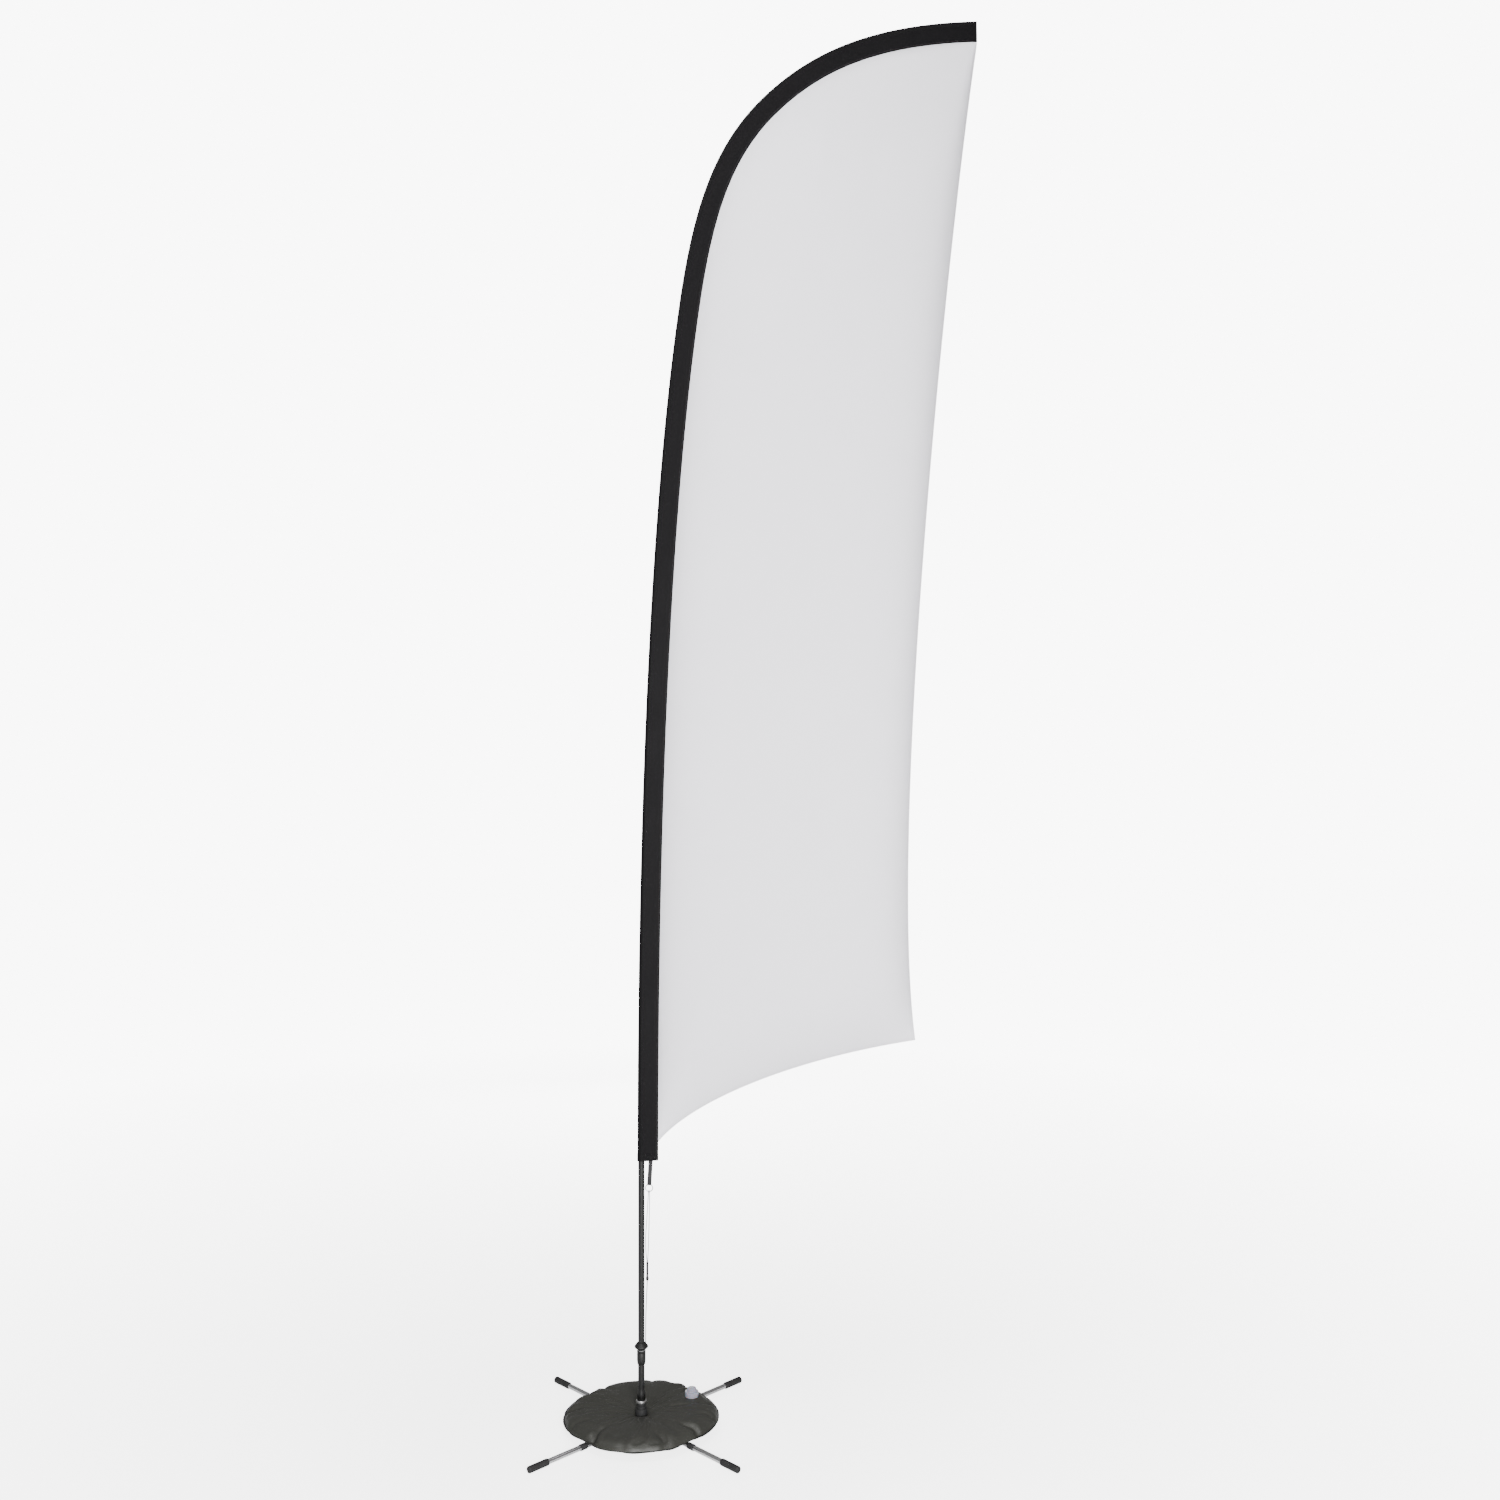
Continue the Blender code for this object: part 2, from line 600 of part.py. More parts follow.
def make_stem():
    bore_top = HUB_BOLT_TOP + GAP
    boss_top = STEM_TOP + STEM_BOSS_HEIGHT
    turned("stem", [
        (0.0, PIN_TOP), (PIN_RADIUS, PIN_TOP), (PIN_RADIUS, boss_top), (STEM_BOSS_RADIUS, boss_top),
        (STEM_BOSS_RADIUS, STEM_TOP), (STEM_RADIUS, STEM_TOP), (STEM_TAPER_RADIUS, STEM_TAPER_TOP),
        (STEM_FOOT_RADIUS, STEM_TAPER_BOTTOM), (STEM_FOOT_RADIUS, STEM_BOTTOM), (HUB_BORE_RADIUS, STEM_BOTTOM),
        (HUB_BORE_RADIUS, bore_top), (0.0, bore_top),
    ], BLACK_METAL, BASE)


# ================================================================ sub-parts: turning spindle
def make_ball_ring(name, bottom):
    """A cage ring with its balls, joined into one body."""
    middle = bottom + RACE_HEIGHT / 2
    cage = ring(name, BALL_CIRCLE - CAGE_HALF_WIDTH, BALL_CIRCLE + CAGE_HALF_WIDTH,
                middle - CAGE_HALF_HEIGHT, middle + CAGE_HALF_HEIGHT, STEEL, ROTOR, steps=16)
    mesh = bpy.data.meshes.new("balls")
    shape = bmesh.new()
    for index in range(BALL_COUNT):
        turn = Matrix.Rotation(2 * math.pi * index / BALL_COUNT, 4, "Z")
        place = turn @ Matrix.Translation((BALL_CIRCLE, 0.0, middle))
        bmesh.ops.create_icosphere(shape, subdivisions=1, radius=BALL_RADIUS, matrix=place)
    shape.to_mesh(mesh)
    shape.free()
    balls = hide_cutter(add_object(f"{name}_balls", mesh, None, None, CUTTERS))
    boolean(cage, balls, "UNION")
    bake_modifiers(cage)


def make_bearing(name, bottom):
    top = bottom + RACE_HEIGHT
    ring(f"{name}_inner_race", INNER_RACE_BORE, INNER_RACE_RADIUS, bottom, top, STEEL, BASE)
    make_ball_ring(f"{name}_ball_ring", bottom)
    ring(f"{name}_outer_race", OUTER_RACE_BORE, OUTER_RACE_RADIUS, bottom, top, STEEL, ROTOR)


def make_nut():
    nut_top = NUT_BOTTOM + NUT_HEIGHT
    nut = add_object("spindle_nut", cylinder_mesh("spindle_nut", NUT_RADIUS, NUT_BOTTOM, nut_top, 6),
                     STEEL, BASE)
    mesh = cylinder_mesh("bore", INNER_RACE_BORE, NUT_BOTTOM - 0.001, nut_top + 0.001, 24)
    boolean(nut, hide_cutter(add_object("nut_bore", mesh, None, None, CUTTERS)), "DIFFERENCE")


def make_spindle():
    make_bearing("lower_bearing", LOWER_RACE_BOTTOM)
    make_bearing("upper_bearing", UPPER_RACE_BOTTOM)
    spacer_top = SPACER_BOTTOM + SPACER_HEIGHT
    ring("inner_spacer", INNER_RACE_BORE, INNER_RACE_RADIUS, SPACER_BOTTOM, spacer_top, STEEL, BASE)
    ring("outer_spacer", OUTER_RACE_BORE, OUTER_RACE_RADIUS, SPACER_BOTTOM, spacer_top, STEEL, ROTOR)
    make_nut()
    ring("bearing_circlip", OUTER_RACE_BORE + GAP, OUTER_RACE_RADIUS, CIRCLIP_BOTTOM,
         CIRCLIP_BOTTOM + CIRCLIP_HEIGHT, STEEL, ROTOR)
    spigot_top = HOUSING_TOP + SPIGOT_LENGTH
    taper_top = HOUSING_BOTTOM + HOUSING_TAPER
    turned("bearing_housing", [
        (SPIGOT_RADIUS - CHAMFER, spigot_top), (SPIGOT_RADIUS, spigot_top - SPIGOT_LEAD),
        (SPIGOT_RADIUS, HOUSING_TOP), (HOUSING_RADIUS - CHAMFER, HOUSING_TOP),
        (HOUSING_RADIUS, HOUSING_TOP - CHAMFER), (HOUSING_RADIUS, taper_top),
        (HOUSING_FOOT_RADIUS, HOUSING_BOTTOM), (HOUSING_BORE, HOUSING_BOTTOM),
        (HOUSING_BORE, NUT_BOTTOM), (HOUSING_SHOULDER_BORE, NUT_BOTTOM),
        (HOUSING_SHOULDER_BORE, HOUSING_CEILING), (SPIGOT_BORE_RADIUS, HOUSING_CEILING),
        (SPIGOT_BORE_RADIUS, spigot_top),
    ], BLACK_PLASTIC, ROTOR)
    ring("rest_washer", SPIGOT_RADIUS + GAP, REST_WASHER_RADIUS, REST_WASHER_BOTTOM,
         REST_WASHER_BOTTOM + REST_WASHER_THICKNESS, NYLON, ROTOR)


# ================================================================ sub-parts: pole
def make_pole():
    line = pole_line()
    end = line[-1][0] - SLEEVE_END_WALL - SLEEVE_EASE - TIP_CAP_WALL - GAP
    starts = (0.0,) + POLE_JOINTS
    ends = tuple(joint - GAP for joint in POLE_JOINTS) + (end,)
    for number, (start, stop) in enumerate(zip(starts, ends), 1):
        finish = BLACK_METAL if number < 3 else FIBREGLASS
        pole_section(f"pole_section_{number}", line, start, stop, number > 1, finish, MAST)
    make_tip_cap(line, end)
    make_collar()


def make_tip_cap(line, end):
    """A thin cap over the pole's end, which keeps it from wearing through the sleeve."""
    lengths = [entry[0] for entry in line if end - TIP_CAP_LENGTH < entry[0] < end - POLE_RING_MARGIN]
    lengths = [end - TIP_CAP_LENGTH] + lengths + [end + GAP]
    outer = []
    inner = []
    for length in lengths:
        centre, inward, radius = pole_at(line, length)
        inner.append(round_ring(centre, inward, radius + GAP))
        outer.append(round_ring(centre, inward, radius + GAP + TIP_CAP_WALL * 0.25))
    centre, inward, radius = pole_at(line, end + GAP + TIP_CAP_WALL)
    outer.append(round_ring(centre, inward, radius))
    loft("tip_cap", inner[::-1] + outer, RUBBER, MAST)


def make_collar():
    """The flanged collar on the pole's foot, with a blind eye that anchors the tension cord."""
    top = POLE_BOTTOM + COLLAR_HEIGHT
    bore = POLE_RADIUS + GAP
    collar = turned("pole_collar", [
        (COLLAR_NECK_RADIUS, top), *[(POLE_RADIUS + out, top - drop) for out, drop in COLLAR_FLARE],
        (COLLAR_FOOT_RADIUS, POLE_BOTTOM), (bore, POLE_BOTTOM), (bore, top),
    ], BLACK_PLASTIC, MAST)
    mesh = cylinder_mesh("eye", CORD_RADIUS + GAP, CORD_EYE_BOTTOM, top + 0.002, 16)
    cutter = hide_cutter(add_object("cord_eye_cutter", mesh, None, None, CUTTERS))
    cutter.location.x = CORD_EYE_RADIUS
    boolean(collar, cutter, "DIFFERENCE")


# ================================================================ sub-parts: flag
def make_sleeve():
    line = pole_line()[1:]
    stations = sleeve_stations()
    outside = []
    inside = []
    for (edge, inward), entry in zip(stations, line):
        outside.append(sleeve_ring(edge, inward, entry[3], SLEEVE_WALL, SLEEVE_WIDTH, SLEEVE_SEAM))
    for (edge, inward), entry in zip(stations[:-1], line[:-1]):
        seam = SLEEVE_WIDTH - SLEEVE_SEAM_WIDTH
        inside.append(sleeve_ring(edge, inward, entry[3], 0.0, seam, SLEEVE_SLIT))
    tip = stations[-1][0]
    back = bezier_slope(SLEEVE_EDGE[-1], 1.0) * SLEEVE_END_WALL
    inside.append(sleeve_ring(tip - back, stations[-1][1], line[-1][3], 0.0,
                              SLEEVE_WIDTH - SLEEVE_SEAM_WIDTH, SLEEVE_SLIT))
    loft("flag_sleeve", inside[::-1] + outside, SLEEVE_CLOTH, MAST)


def make_panel():
    """The flat panel, whose pole side follows the sleeve's seam."""
    seam = []
    for edge, inward in sleeve_stations():
        place = edge + inward * (SLEEVE_WIDTH + GAP)
        if place.y > PANEL_HEM_START + 0.02:
            seam.append((place.x, place.y))
    hem_x = EDGE_SHIFT.x + SLEEVE_WIDTH + GAP
    outline = [(hem_x, PANEL_HEM_START)] + seam
    free_edge = (seam[-1],) + PANEL_FREE_EDGE
    for index in range(1, PANEL_EDGE_STEPS):
        outline.append(tuple(bezier(free_edge, index / PANEL_EDGE_STEPS)))
    lower = PANEL_LOWER_EDGE + ((hem_x, PANEL_HEM_START),)
    for index in range(PANEL_LOWER_STEPS):
        outline.append(tuple(bezier(lower, index / PANEL_LOWER_STEPS)))
    panel = flat_outline("flag_panel", [outline], PANEL_THICKNESS, PANEL_CLOTH, MAST)
    panel.rotation_euler.x = math.pi / 2


def make_strap():
    """The webbing strap: flat above, and looped below round the ring's wire."""
    half_ring = math.sqrt(RING_RADIUS ** 2 - (STRAP_WIDTH / 2) ** 2)
    slot_bottom = half_ring - RING_WIRE - 3 * GAP
    slot_top = RING_RADIUS + RING_WIRE + 2 * GAP
    slot = RING_WIRE + 2 * GAP
    outer = slot + STRAP_LAYER
    flat = STRAP_THICKNESS / 2
    outline = [
        (-flat, STRAP_REACH), (-flat, slot_top + STRAP_SPLIT), (-outer, slot_top), (-outer, slot_bottom),
        (-slot, slot_bottom - STRAP_LAYER), (slot, slot_bottom - STRAP_LAYER),
        (outer, slot_bottom), (outer, slot_top), (flat, slot_top + STRAP_SPLIT), (flat, STRAP_REACH),
    ]
    window = [(-slot, slot_bottom), (slot, slot_bottom), (slot, slot_top), (-slot, slot_top)]
    strap = flat_outline("flag_strap", [outline, window], STRAP_WIDTH, WEBBING, MAST)
    stand = Matrix.Rotation(math.pi / 2, 4, "Z") @ Matrix.Rotation(math.pi / 2, 4, "X")
    lean = Matrix.Rotation(STRAP_LEAN, 4, "Y")
    strap.matrix_world = Matrix.Translation(RING_CENTRE) @ lean @ stand


def make_ring():
    bpy.ops.mesh.primitive_torus_add(
        major_radius=RING_RADIUS, minor_radius=RING_WIRE, major_segments=28, minor_segments=8,
        location=(0.0, 0.0, 0.0),
    )
    torus = bpy.context.object
    mesh = torus.data
    bpy.data.objects.remove(torus, do_unlink=True)
    smooth(mesh)
    strap_ring = add_object("strap_ring", mesh, STEEL, MAST)
    strap_ring.location = RING_CENTRE
    strap_ring.rotation_euler.x = math.pi / 2


def make_tension_cord():
    cord("tension_cord_front", CORD_FRONT_ROUTE, CORD_RADIUS, GREY_CORD, MAST)
    cord("tension_cord_rear", CORD_REAR_ROUTE, CORD_RADIUS, GREY_CORD, MAST)
    cord("tension_cord_lower", CORD_LOWER_ROUTE, CORD_RADIUS, BLACK_CORD, MAST)
    slope_top, knot_top, knot_bottom = [height - CRIMP_LENGTH for height in CRIMP_KNOT]
    crimp = turned("cord_crimp", [
        (0.0, 0.0), (CRIMP_RADIUS, 0.0), (CRIMP_RADIUS, slope_top),
        (CRIMP_KNOT_RADIUS, knot_top), (CRIMP_KNOT_RADIUS, knot_bottom),
        (CRIMP_RADIUS, -CRIMP_LENGTH), (0.0, -CRIMP_LENGTH),
    ], BLACK_PLASTIC, MAST, steps=16)
    crimp.location = CRIMP_TOP


# ================================================================ sub-parts: water bag
def make_bag():
    """The filled bag: a low ring round the bush, with a welded rim and a pad for the filler."""
    bag = turned("water_bag", [
        *[(radius, BAG_CROWN - drop) for radius, drop in BAG_TOP],
        *BAG_RIM, (BAG_FLAT_RADIUS, BAG_BOTTOM), (BAG_HOLE_RADIUS, BAG_BOTTOM),
    ], BAG_CLOTH, BASE, steps=36)
    mesh = cylinder_mesh("pad", VALVE_FLANGE_RADIUS + 0.002, BAG_CROWN - 0.020, VALVE_SEAT_HEIGHT, 24)
    pad = hide_cutter(add_object("valve_pad", mesh, None, None, CUTTERS))
    pad.location = VALVE_PLACE
    boolean(bag, pad, "UNION")
    bake_modifiers(bag)


def make_valve():
    neck = turned("valve_neck", [
        (NECK_RADIUS, NECK_TOP), (NECK_RADIUS, NECK_BOTTOM), (VALVE_FLANGE_RADIUS, NECK_BOTTOM),
        (VALVE_FLANGE_RADIUS, VALVE_BOTTOM), (NECK_BORE_RADIUS, VALVE_BOTTOM),
        (NECK_BORE_RADIUS, NECK_TOP),
    ], CLEAR_PLASTIC, BASE)
    neck.location = VALVE_PLACE
    seal = ring("valve_seal", NECK_BORE_RADIUS, NECK_RADIUS + 0.0015, SEAL_BOTTOM,
                SEAL_BOTTOM + SEAL_THICKNESS, RUBBER)
    seal.parent = CAP_LIFT
    cap = turned("valve_cap", [
        (0.0, CAP_SHOULDER + CAP_KNOB_HEIGHT), (CAP_KNOB_RADIUS - 0.001, CAP_SHOULDER + CAP_KNOB_HEIGHT),
        (CAP_KNOB_RADIUS, CAP_SHOULDER + CAP_KNOB_HEIGHT - 0.001), (CAP_KNOB_RADIUS, CAP_SHOULDER),
        (CAP_RADIUS - 0.001, CAP_SHOULDER), (CAP_RADIUS, CAP_SHOULDER - 0.001),
        (CAP_RADIUS, CAP_BOTTOM), (CAP_BORE_RADIUS, CAP_BOTTOM), (CAP_BORE_RADIUS, CAP_CEILING),
        (0.0, CAP_CEILING),
    ], CLEAR_PLASTIC)
    cap.parent = CAP_TURN


# ================================================================ build
clear_scene()
PARTS = new_collection("feather_flag")
CUTTERS = new_collection("cutters")

CHROME = material("chrome_tube", (0.55, 0.55, 0.56), 0.22, 1.0)
STEEL = material("plated_steel", (0.50, 0.50, 0.51), 0.30, 1.0)
BLACK_METAL = material("black_metal", (0.008, 0.008, 0.008), 0.40, 0.3)
BLACK_PLASTIC = material("black_plastic", (0.010, 0.010, 0.010), 0.50)
FIBREGLASS = material("black_fibreglass", (0.010, 0.010, 0.011), 0.35)
RUBBER = material("black_rubber", (0.016, 0.016, 0.017), 0.75)
NYLON = material("grey_nylon", (0.45, 0.45, 0.46), 0.55)
CLEAR_PLASTIC = material("milky_plastic", (0.55, 0.55, 0.63), 0.30)
SLEEVE_CLOTH = material("black_cloth", (0.013, 0.012, 0.014), 0.62)
PANEL_CLOTH = material("white_cloth", (0.76, 0.75, 0.79), 0.80)
BAG_CLOTH = material("olive_cloth", (0.056, 0.056, 0.049), 0.60)
WEBBING = material("black_webbing", (0.010, 0.010, 0.011), 0.80)
GREY_CORD = material("grey_cord", (0.30, 0.30, 0.31), 0.80)
BLACK_CORD = material("black_cord", (0.012, 0.012, 0.012), 0.80)

BASE = empty("base", (0.0, 0.0, 0.0))
FOLD = empty("leg_fold_axis", (0.0, 0.0, 0.0), BASE)
ROTOR = empty("pole_turn_axis", (0.0, 0.0, 0.0), BASE)
MAST = empty("mast_lift_axis", (0.0, 0.0, 0.0), ROTOR)
CAP_LIFT = empty("cap_lift_axis", VALVE_PLACE, BASE)
CAP_TURN = empty("cap_turn_axis", (0.0, 0.0, 0.0), CAP_LIFT)

make_hub()
make_crossbar("lower_crossbar", LEGS["rear_right"][0], LOWER_BAR_BOTTOM, BASE)
make_crossbar("upper_crossbar", LEGS["rear_left"][0], UPPER_BAR_BOTTOM, FOLD)
for leg_name, (leg_azimuth, swings) in LEGS.items():
    make_leg(leg_name, leg_azimuth, FOLD if swings else BASE)
make_stem()
make_spindle()
make_pole()
make_sleeve()
make_panel()
make_strap()
make_ring()
make_tension_cord()
make_bag()
make_valve()
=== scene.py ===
# %% [markdown]
# # A feather flag on a water-weighted cross base
# The flag is a white cloth blade, sewn to a black pocket that a long springy pole bends into a
# hook. The pole turns on a small spindle, and the spindle stands in the middle of four silver
# legs under a bag of water. The lesson goes from the things held taut, to the cloth, to the
# bag, and then to the hard parts, and every piece is placed from the frame that is loaded first.

# %% Load the frame
import math

import bpy
import numpy as np
from mathutils import Matrix, Vector, noise


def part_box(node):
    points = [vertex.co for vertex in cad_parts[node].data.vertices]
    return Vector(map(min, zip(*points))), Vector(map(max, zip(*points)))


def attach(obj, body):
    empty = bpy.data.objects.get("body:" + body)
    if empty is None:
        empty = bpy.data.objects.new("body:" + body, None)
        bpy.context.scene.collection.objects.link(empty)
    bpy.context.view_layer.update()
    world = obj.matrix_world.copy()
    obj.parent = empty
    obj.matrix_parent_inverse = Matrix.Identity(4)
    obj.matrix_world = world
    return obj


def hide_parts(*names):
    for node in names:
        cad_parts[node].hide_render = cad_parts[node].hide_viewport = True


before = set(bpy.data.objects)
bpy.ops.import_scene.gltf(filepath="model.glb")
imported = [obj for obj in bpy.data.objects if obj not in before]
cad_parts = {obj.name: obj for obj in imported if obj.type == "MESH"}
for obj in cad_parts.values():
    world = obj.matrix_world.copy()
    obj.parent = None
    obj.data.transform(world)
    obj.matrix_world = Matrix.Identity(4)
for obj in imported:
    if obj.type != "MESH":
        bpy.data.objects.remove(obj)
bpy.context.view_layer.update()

# %% [markdown]
# ## Camera
# A level camera keeps the pole upright in the picture, because a lens that tilts makes
# verticals lean. It stands at the height of the flag's middle, so it looks down on the base at
# about 25 degrees, and a 35 mm lens takes in the whole height from under five metres.

# %% Camera
CAMERA_PLACE = (0.345, -4.63, 2.143)
camera_data = bpy.data.cameras.new("camera")
camera_data.lens = 35.0
camera_data.sensor_width = 36.0
camera = bpy.data.objects.new("camera", camera_data)
camera.location = CAMERA_PLACE
camera.rotation_euler = (math.pi / 2, 0.0, 0.0)
bpy.context.scene.collection.objects.link(camera)
bpy.context.scene.camera = camera

# %% [markdown]
# ## Helpers for modelling
# Most hard pieces are turned on a lathe, so one helper does what a hand would do in edit mode:
# start from a circle, extrude its edge loop, and scale it to the next radius. Corners get a
# small bevel, since no real edge is perfectly sharp, and a sharp one catches no highlight.


# %% Selection and clean-up helpers
def deselect_all():
    if bpy.context.object is not None and bpy.context.object.mode != "OBJECT":
        bpy.ops.object.mode_set(mode="OBJECT")
    bpy.ops.object.select_all(action="DESELECT")


def select_only(*pieces):
    deselect_all()
    for piece in pieces:
        piece.select_set(True)
    bpy.context.view_layer.objects.active = pieces[0]


def apply_place(piece):
    """Put the place into the mesh, so the object sits at the origin."""
    select_only(piece)
    bpy.ops.object.transform_apply(location=True, rotation=True, scale=True)


def apply_modifiers(piece):
    select_only(piece)
    for modifier in list(piece.modifiers):
        bpy.ops.object.modifier_apply(modifier=modifier.name)


def smooth_by_angle(piece, degrees=35):
    select_only(piece)
    bpy.ops.object.shade_smooth_by_angle(angle=math.radians(degrees))


def add_bevel(piece, width, segments=2, degrees=30):
    bevel = piece.modifiers.new("Bevel", "BEVEL")
    bevel.width = width
    bevel.segments = segments
    bevel.limit_method = "ANGLE"
    bevel.angle_limit = math.radians(degrees)
    bevel.use_clamp_overlap = True
    apply_modifiers(piece)


def turned(name, profile, sides=64, bevel=0.0003):
    """A lathe shape from (radius, height) points; it is a closed ring unless it starts on the axis."""
    solid = profile[0][0] == 0.0
    points = [point for point in profile if point[0] > 0.0]
    if not solid:
        points = points + [points[0]]
    deselect_all()
    radius, height = points[0]
    bpy.ops.mesh.primitive_circle_add(vertices=sides, radius=radius, location=(0, 0, height))
    piece = bpy.context.object
    piece.name = name
    bpy.ops.object.mode_set(mode="EDIT")
    bpy.ops.mesh.select_mode(type="EDGE")
    bpy.ops.mesh.select_all(action="SELECT")
    for next_radius, next_height in points[1:]:
        move = {"value": (0.0, 0.0, next_height - height)}
        bpy.ops.mesh.extrude_region_move(TRANSFORM_OT_translate=move)
        factor = next_radius / radius
        if factor != 1.0:
            bpy.ops.transform.resize(value=(factor, factor, 1.0), center_override=(0, 0, next_height))
        radius, height = next_radius, next_height
    bpy.ops.mesh.select_all(action="SELECT")
    bpy.ops.mesh.remove_doubles(threshold=0.000005)
    if solid:
        bpy.ops.mesh.select_all(action="DESELECT")
        bpy.ops.mesh.select_non_manifold()
        bpy.ops.mesh.fill_holes(sides=0)
    bpy.ops.mesh.select_all(action="SELECT")
    bpy.ops.mesh.normals_make_consistent(inside=False)
    bpy.ops.object.mode_set(mode="OBJECT")
    apply_place(piece)
    if bevel:
        add_bevel(piece, bevel)
    smooth_by_angle(piece)
    return piece


def stretched_grid(name, columns, rows, place, size, closed=False, capped=False):
    """A flat grid whose points are moved to place(u, v); size is its width and length in metres.

    u runs across and v along, both from 0 to 1. A closed grid meets itself, as a tube does.
    """
    deselect_all()
    bpy.ops.mesh.primitive_grid_add(
        x_subdivisions=columns, y_subdivisions=rows, size=1.0, location=(0.5, 0.5, 0.0), calc_uvs=True)
    piece = bpy.context.object
    piece.name = name
    apply_place(piece)
    for vertex in piece.data.vertices:
        u, v, _ = vertex.co
        vertex.co = place(min(max(u, 0.0), 1.0), min(max(v, 0.0), 1.0))
    layer = piece.data.uv_layers[0]
    layer.name = "cloth_uv"
    for corner in layer.data:
        corner.uv = (corner.uv[0] * size[0], corner.uv[1] * size[1])
    if closed:
        bpy.ops.object.mode_set(mode="EDIT")
        bpy.ops.mesh.select_all(action="SELECT")
        bpy.ops.mesh.remove_doubles(threshold=0.000002)
        if capped:
            bpy.ops.mesh.select_mode(type="EDGE")
            bpy.ops.mesh.select_all(action="DESELECT")
            bpy.ops.mesh.select_non_manifold()
            bpy.ops.mesh.fill_holes(sides=0)
            bpy.ops.mesh.select_all(action="SELECT")
        bpy.ops.mesh.normals_make_consistent(inside=False)
        bpy.ops.object.mode_set(mode="OBJECT")
    return piece


def settle(piece, body, slot, material, *nodes):
    """Give a finished piece its material and its body, and hide the nodes that it stands for; the slot is not
    used.
    """
    piece.data.materials.clear()
    piece.data.materials.append(material)
    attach(piece, body)
    if nodes:
        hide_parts(*nodes)
    print(piece.name, len(piece.data.polygons) if piece.type == "MESH" else "curve", "on", body)
    return piece


# %% [markdown]
# ## Effects that several materials share
# Weave, grain, wear and dust turn up on more than one finish, so each is a node group with its
# own numbers. A group hands out plain values only, and the shader stays in the material.


# %% Node group: woven threads
def new_group(name, inputs, outputs):
    group = bpy.data.node_groups.new(name, "ShaderNodeTree")
    for label, kind, value in inputs:
        socket = group.interface.new_socket(label, in_out="INPUT", socket_type=kind)
        socket.default_value = value
    for label, kind in outputs:
        group.interface.new_socket(label, in_out="OUTPUT", socket_type=kind)
    start = group.nodes.new("NodeGroupInput")
    end = group.nodes.new("NodeGroupOutput")
    return group, start, end


def math_node(tree, operation, first, second=None):
    node = tree.nodes.new("ShaderNodeMath")
    node.operation = operation
    for index, value in enumerate((first, second)):
        if value is None:
            continue
        if isinstance(value, (int, float)):
            node.inputs[index].default_value = value
        else:
            tree.links.new(value, node.inputs[index])
    return node.outputs[0]


def make_weave_group():
    group, start, end = new_group(
        "weave",
        [("Threads per metre", "NodeSocketFloat", 900.0)],
        [("Height", "NodeSocketFloat")],
    )
    uv = group.nodes.new("ShaderNodeUVMap")
    uv.uv_map = "cloth_uv"
    split = group.nodes.new("ShaderNodeSeparateXYZ")
    group.links.new(uv.outputs["UV"], split.inputs[0])
    turns = math_node(group, "MULTIPLY", start.outputs[0], 2 * math.pi)
    across = math_node(group, "SINE", math_node(group, "MULTIPLY", split.outputs[0], turns))
    along = math_node(group, "SINE", math_node(group, "MULTIPLY", split.outputs[1], turns))
    group.links.new(math_node(group, "MULTIPLY", across, along), end.inputs[0])
    return group


WEAVE = make_weave_group()


# %% Node group: grain, a soft mottling of colour and gloss
def make_grain_group():
    group, start, end = new_group(
        "grain",
        [
            ("Scale", "NodeSocketFloat", 20.0),
            ("Fine scale", "NodeSocketFloat", 300.0),
            ("Fine share", "NodeSocketFloat", 0.3),
        ],
        [("Mask", "NodeSocketFloat"), ("Height", "NodeSocketFloat")],
    )
    place = group.nodes.new("ShaderNodeTexCoord")
    coarse = group.nodes.new("ShaderNodeTexNoise")
    fine = group.nodes.new("ShaderNodeTexNoise")
    for texture, socket, detail in ((coarse, 0, 4.0), (fine, 1, 2.0)):
        texture.inputs["Detail"].default_value = detail
        group.links.new(place.outputs["Object"], texture.inputs["Vector"])
        group.links.new(start.outputs[socket], texture.inputs["Scale"])
    blend = group.nodes.new("ShaderNodeMix")
    group.links.new(start.outputs[2], blend.inputs[0])
    group.links.new(coarse.outputs["Fac"], blend.inputs[2])
    group.links.new(fine.outputs["Fac"], blend.inputs[3])
    group.links.new(blend.outputs[0], end.inputs[0])
    group.links.new(fine.outputs["Fac"], end.inputs[1])
    return group


GRAIN = make_grain_group()


# %% Node group: wear on edges
def make_wear_group():
    group, start, end = new_group(
        "edge_wear",
        [("Low", "NodeSocketFloat", 0.52), ("High", "NodeSocketFloat", 0.62)],
        [("Mask", "NodeSocketFloat")],
    )
    shape = group.nodes.new("ShaderNodeNewGeometry")
    place = group.nodes.new("ShaderNodeTexCoord")
    patches = group.nodes.new("ShaderNodeTexNoise")
    patches.inputs["Scale"].default_value = 260.0
    group.links.new(place.outputs["Object"], patches.inputs["Vector"])
    span = group.nodes.new("ShaderNodeMapRange")
    group.links.new(shape.outputs["Pointiness"], span.inputs["Value"])
    group.links.new(start.outputs[0], span.inputs["From Min"])
    group.links.new(start.outputs[1], span.inputs["From Max"])
    group.links.new(math_node(group, "MULTIPLY", span.outputs[0], patches.outputs["Fac"]), end.inputs[0])
    return group


EDGE_WEAR = make_wear_group()


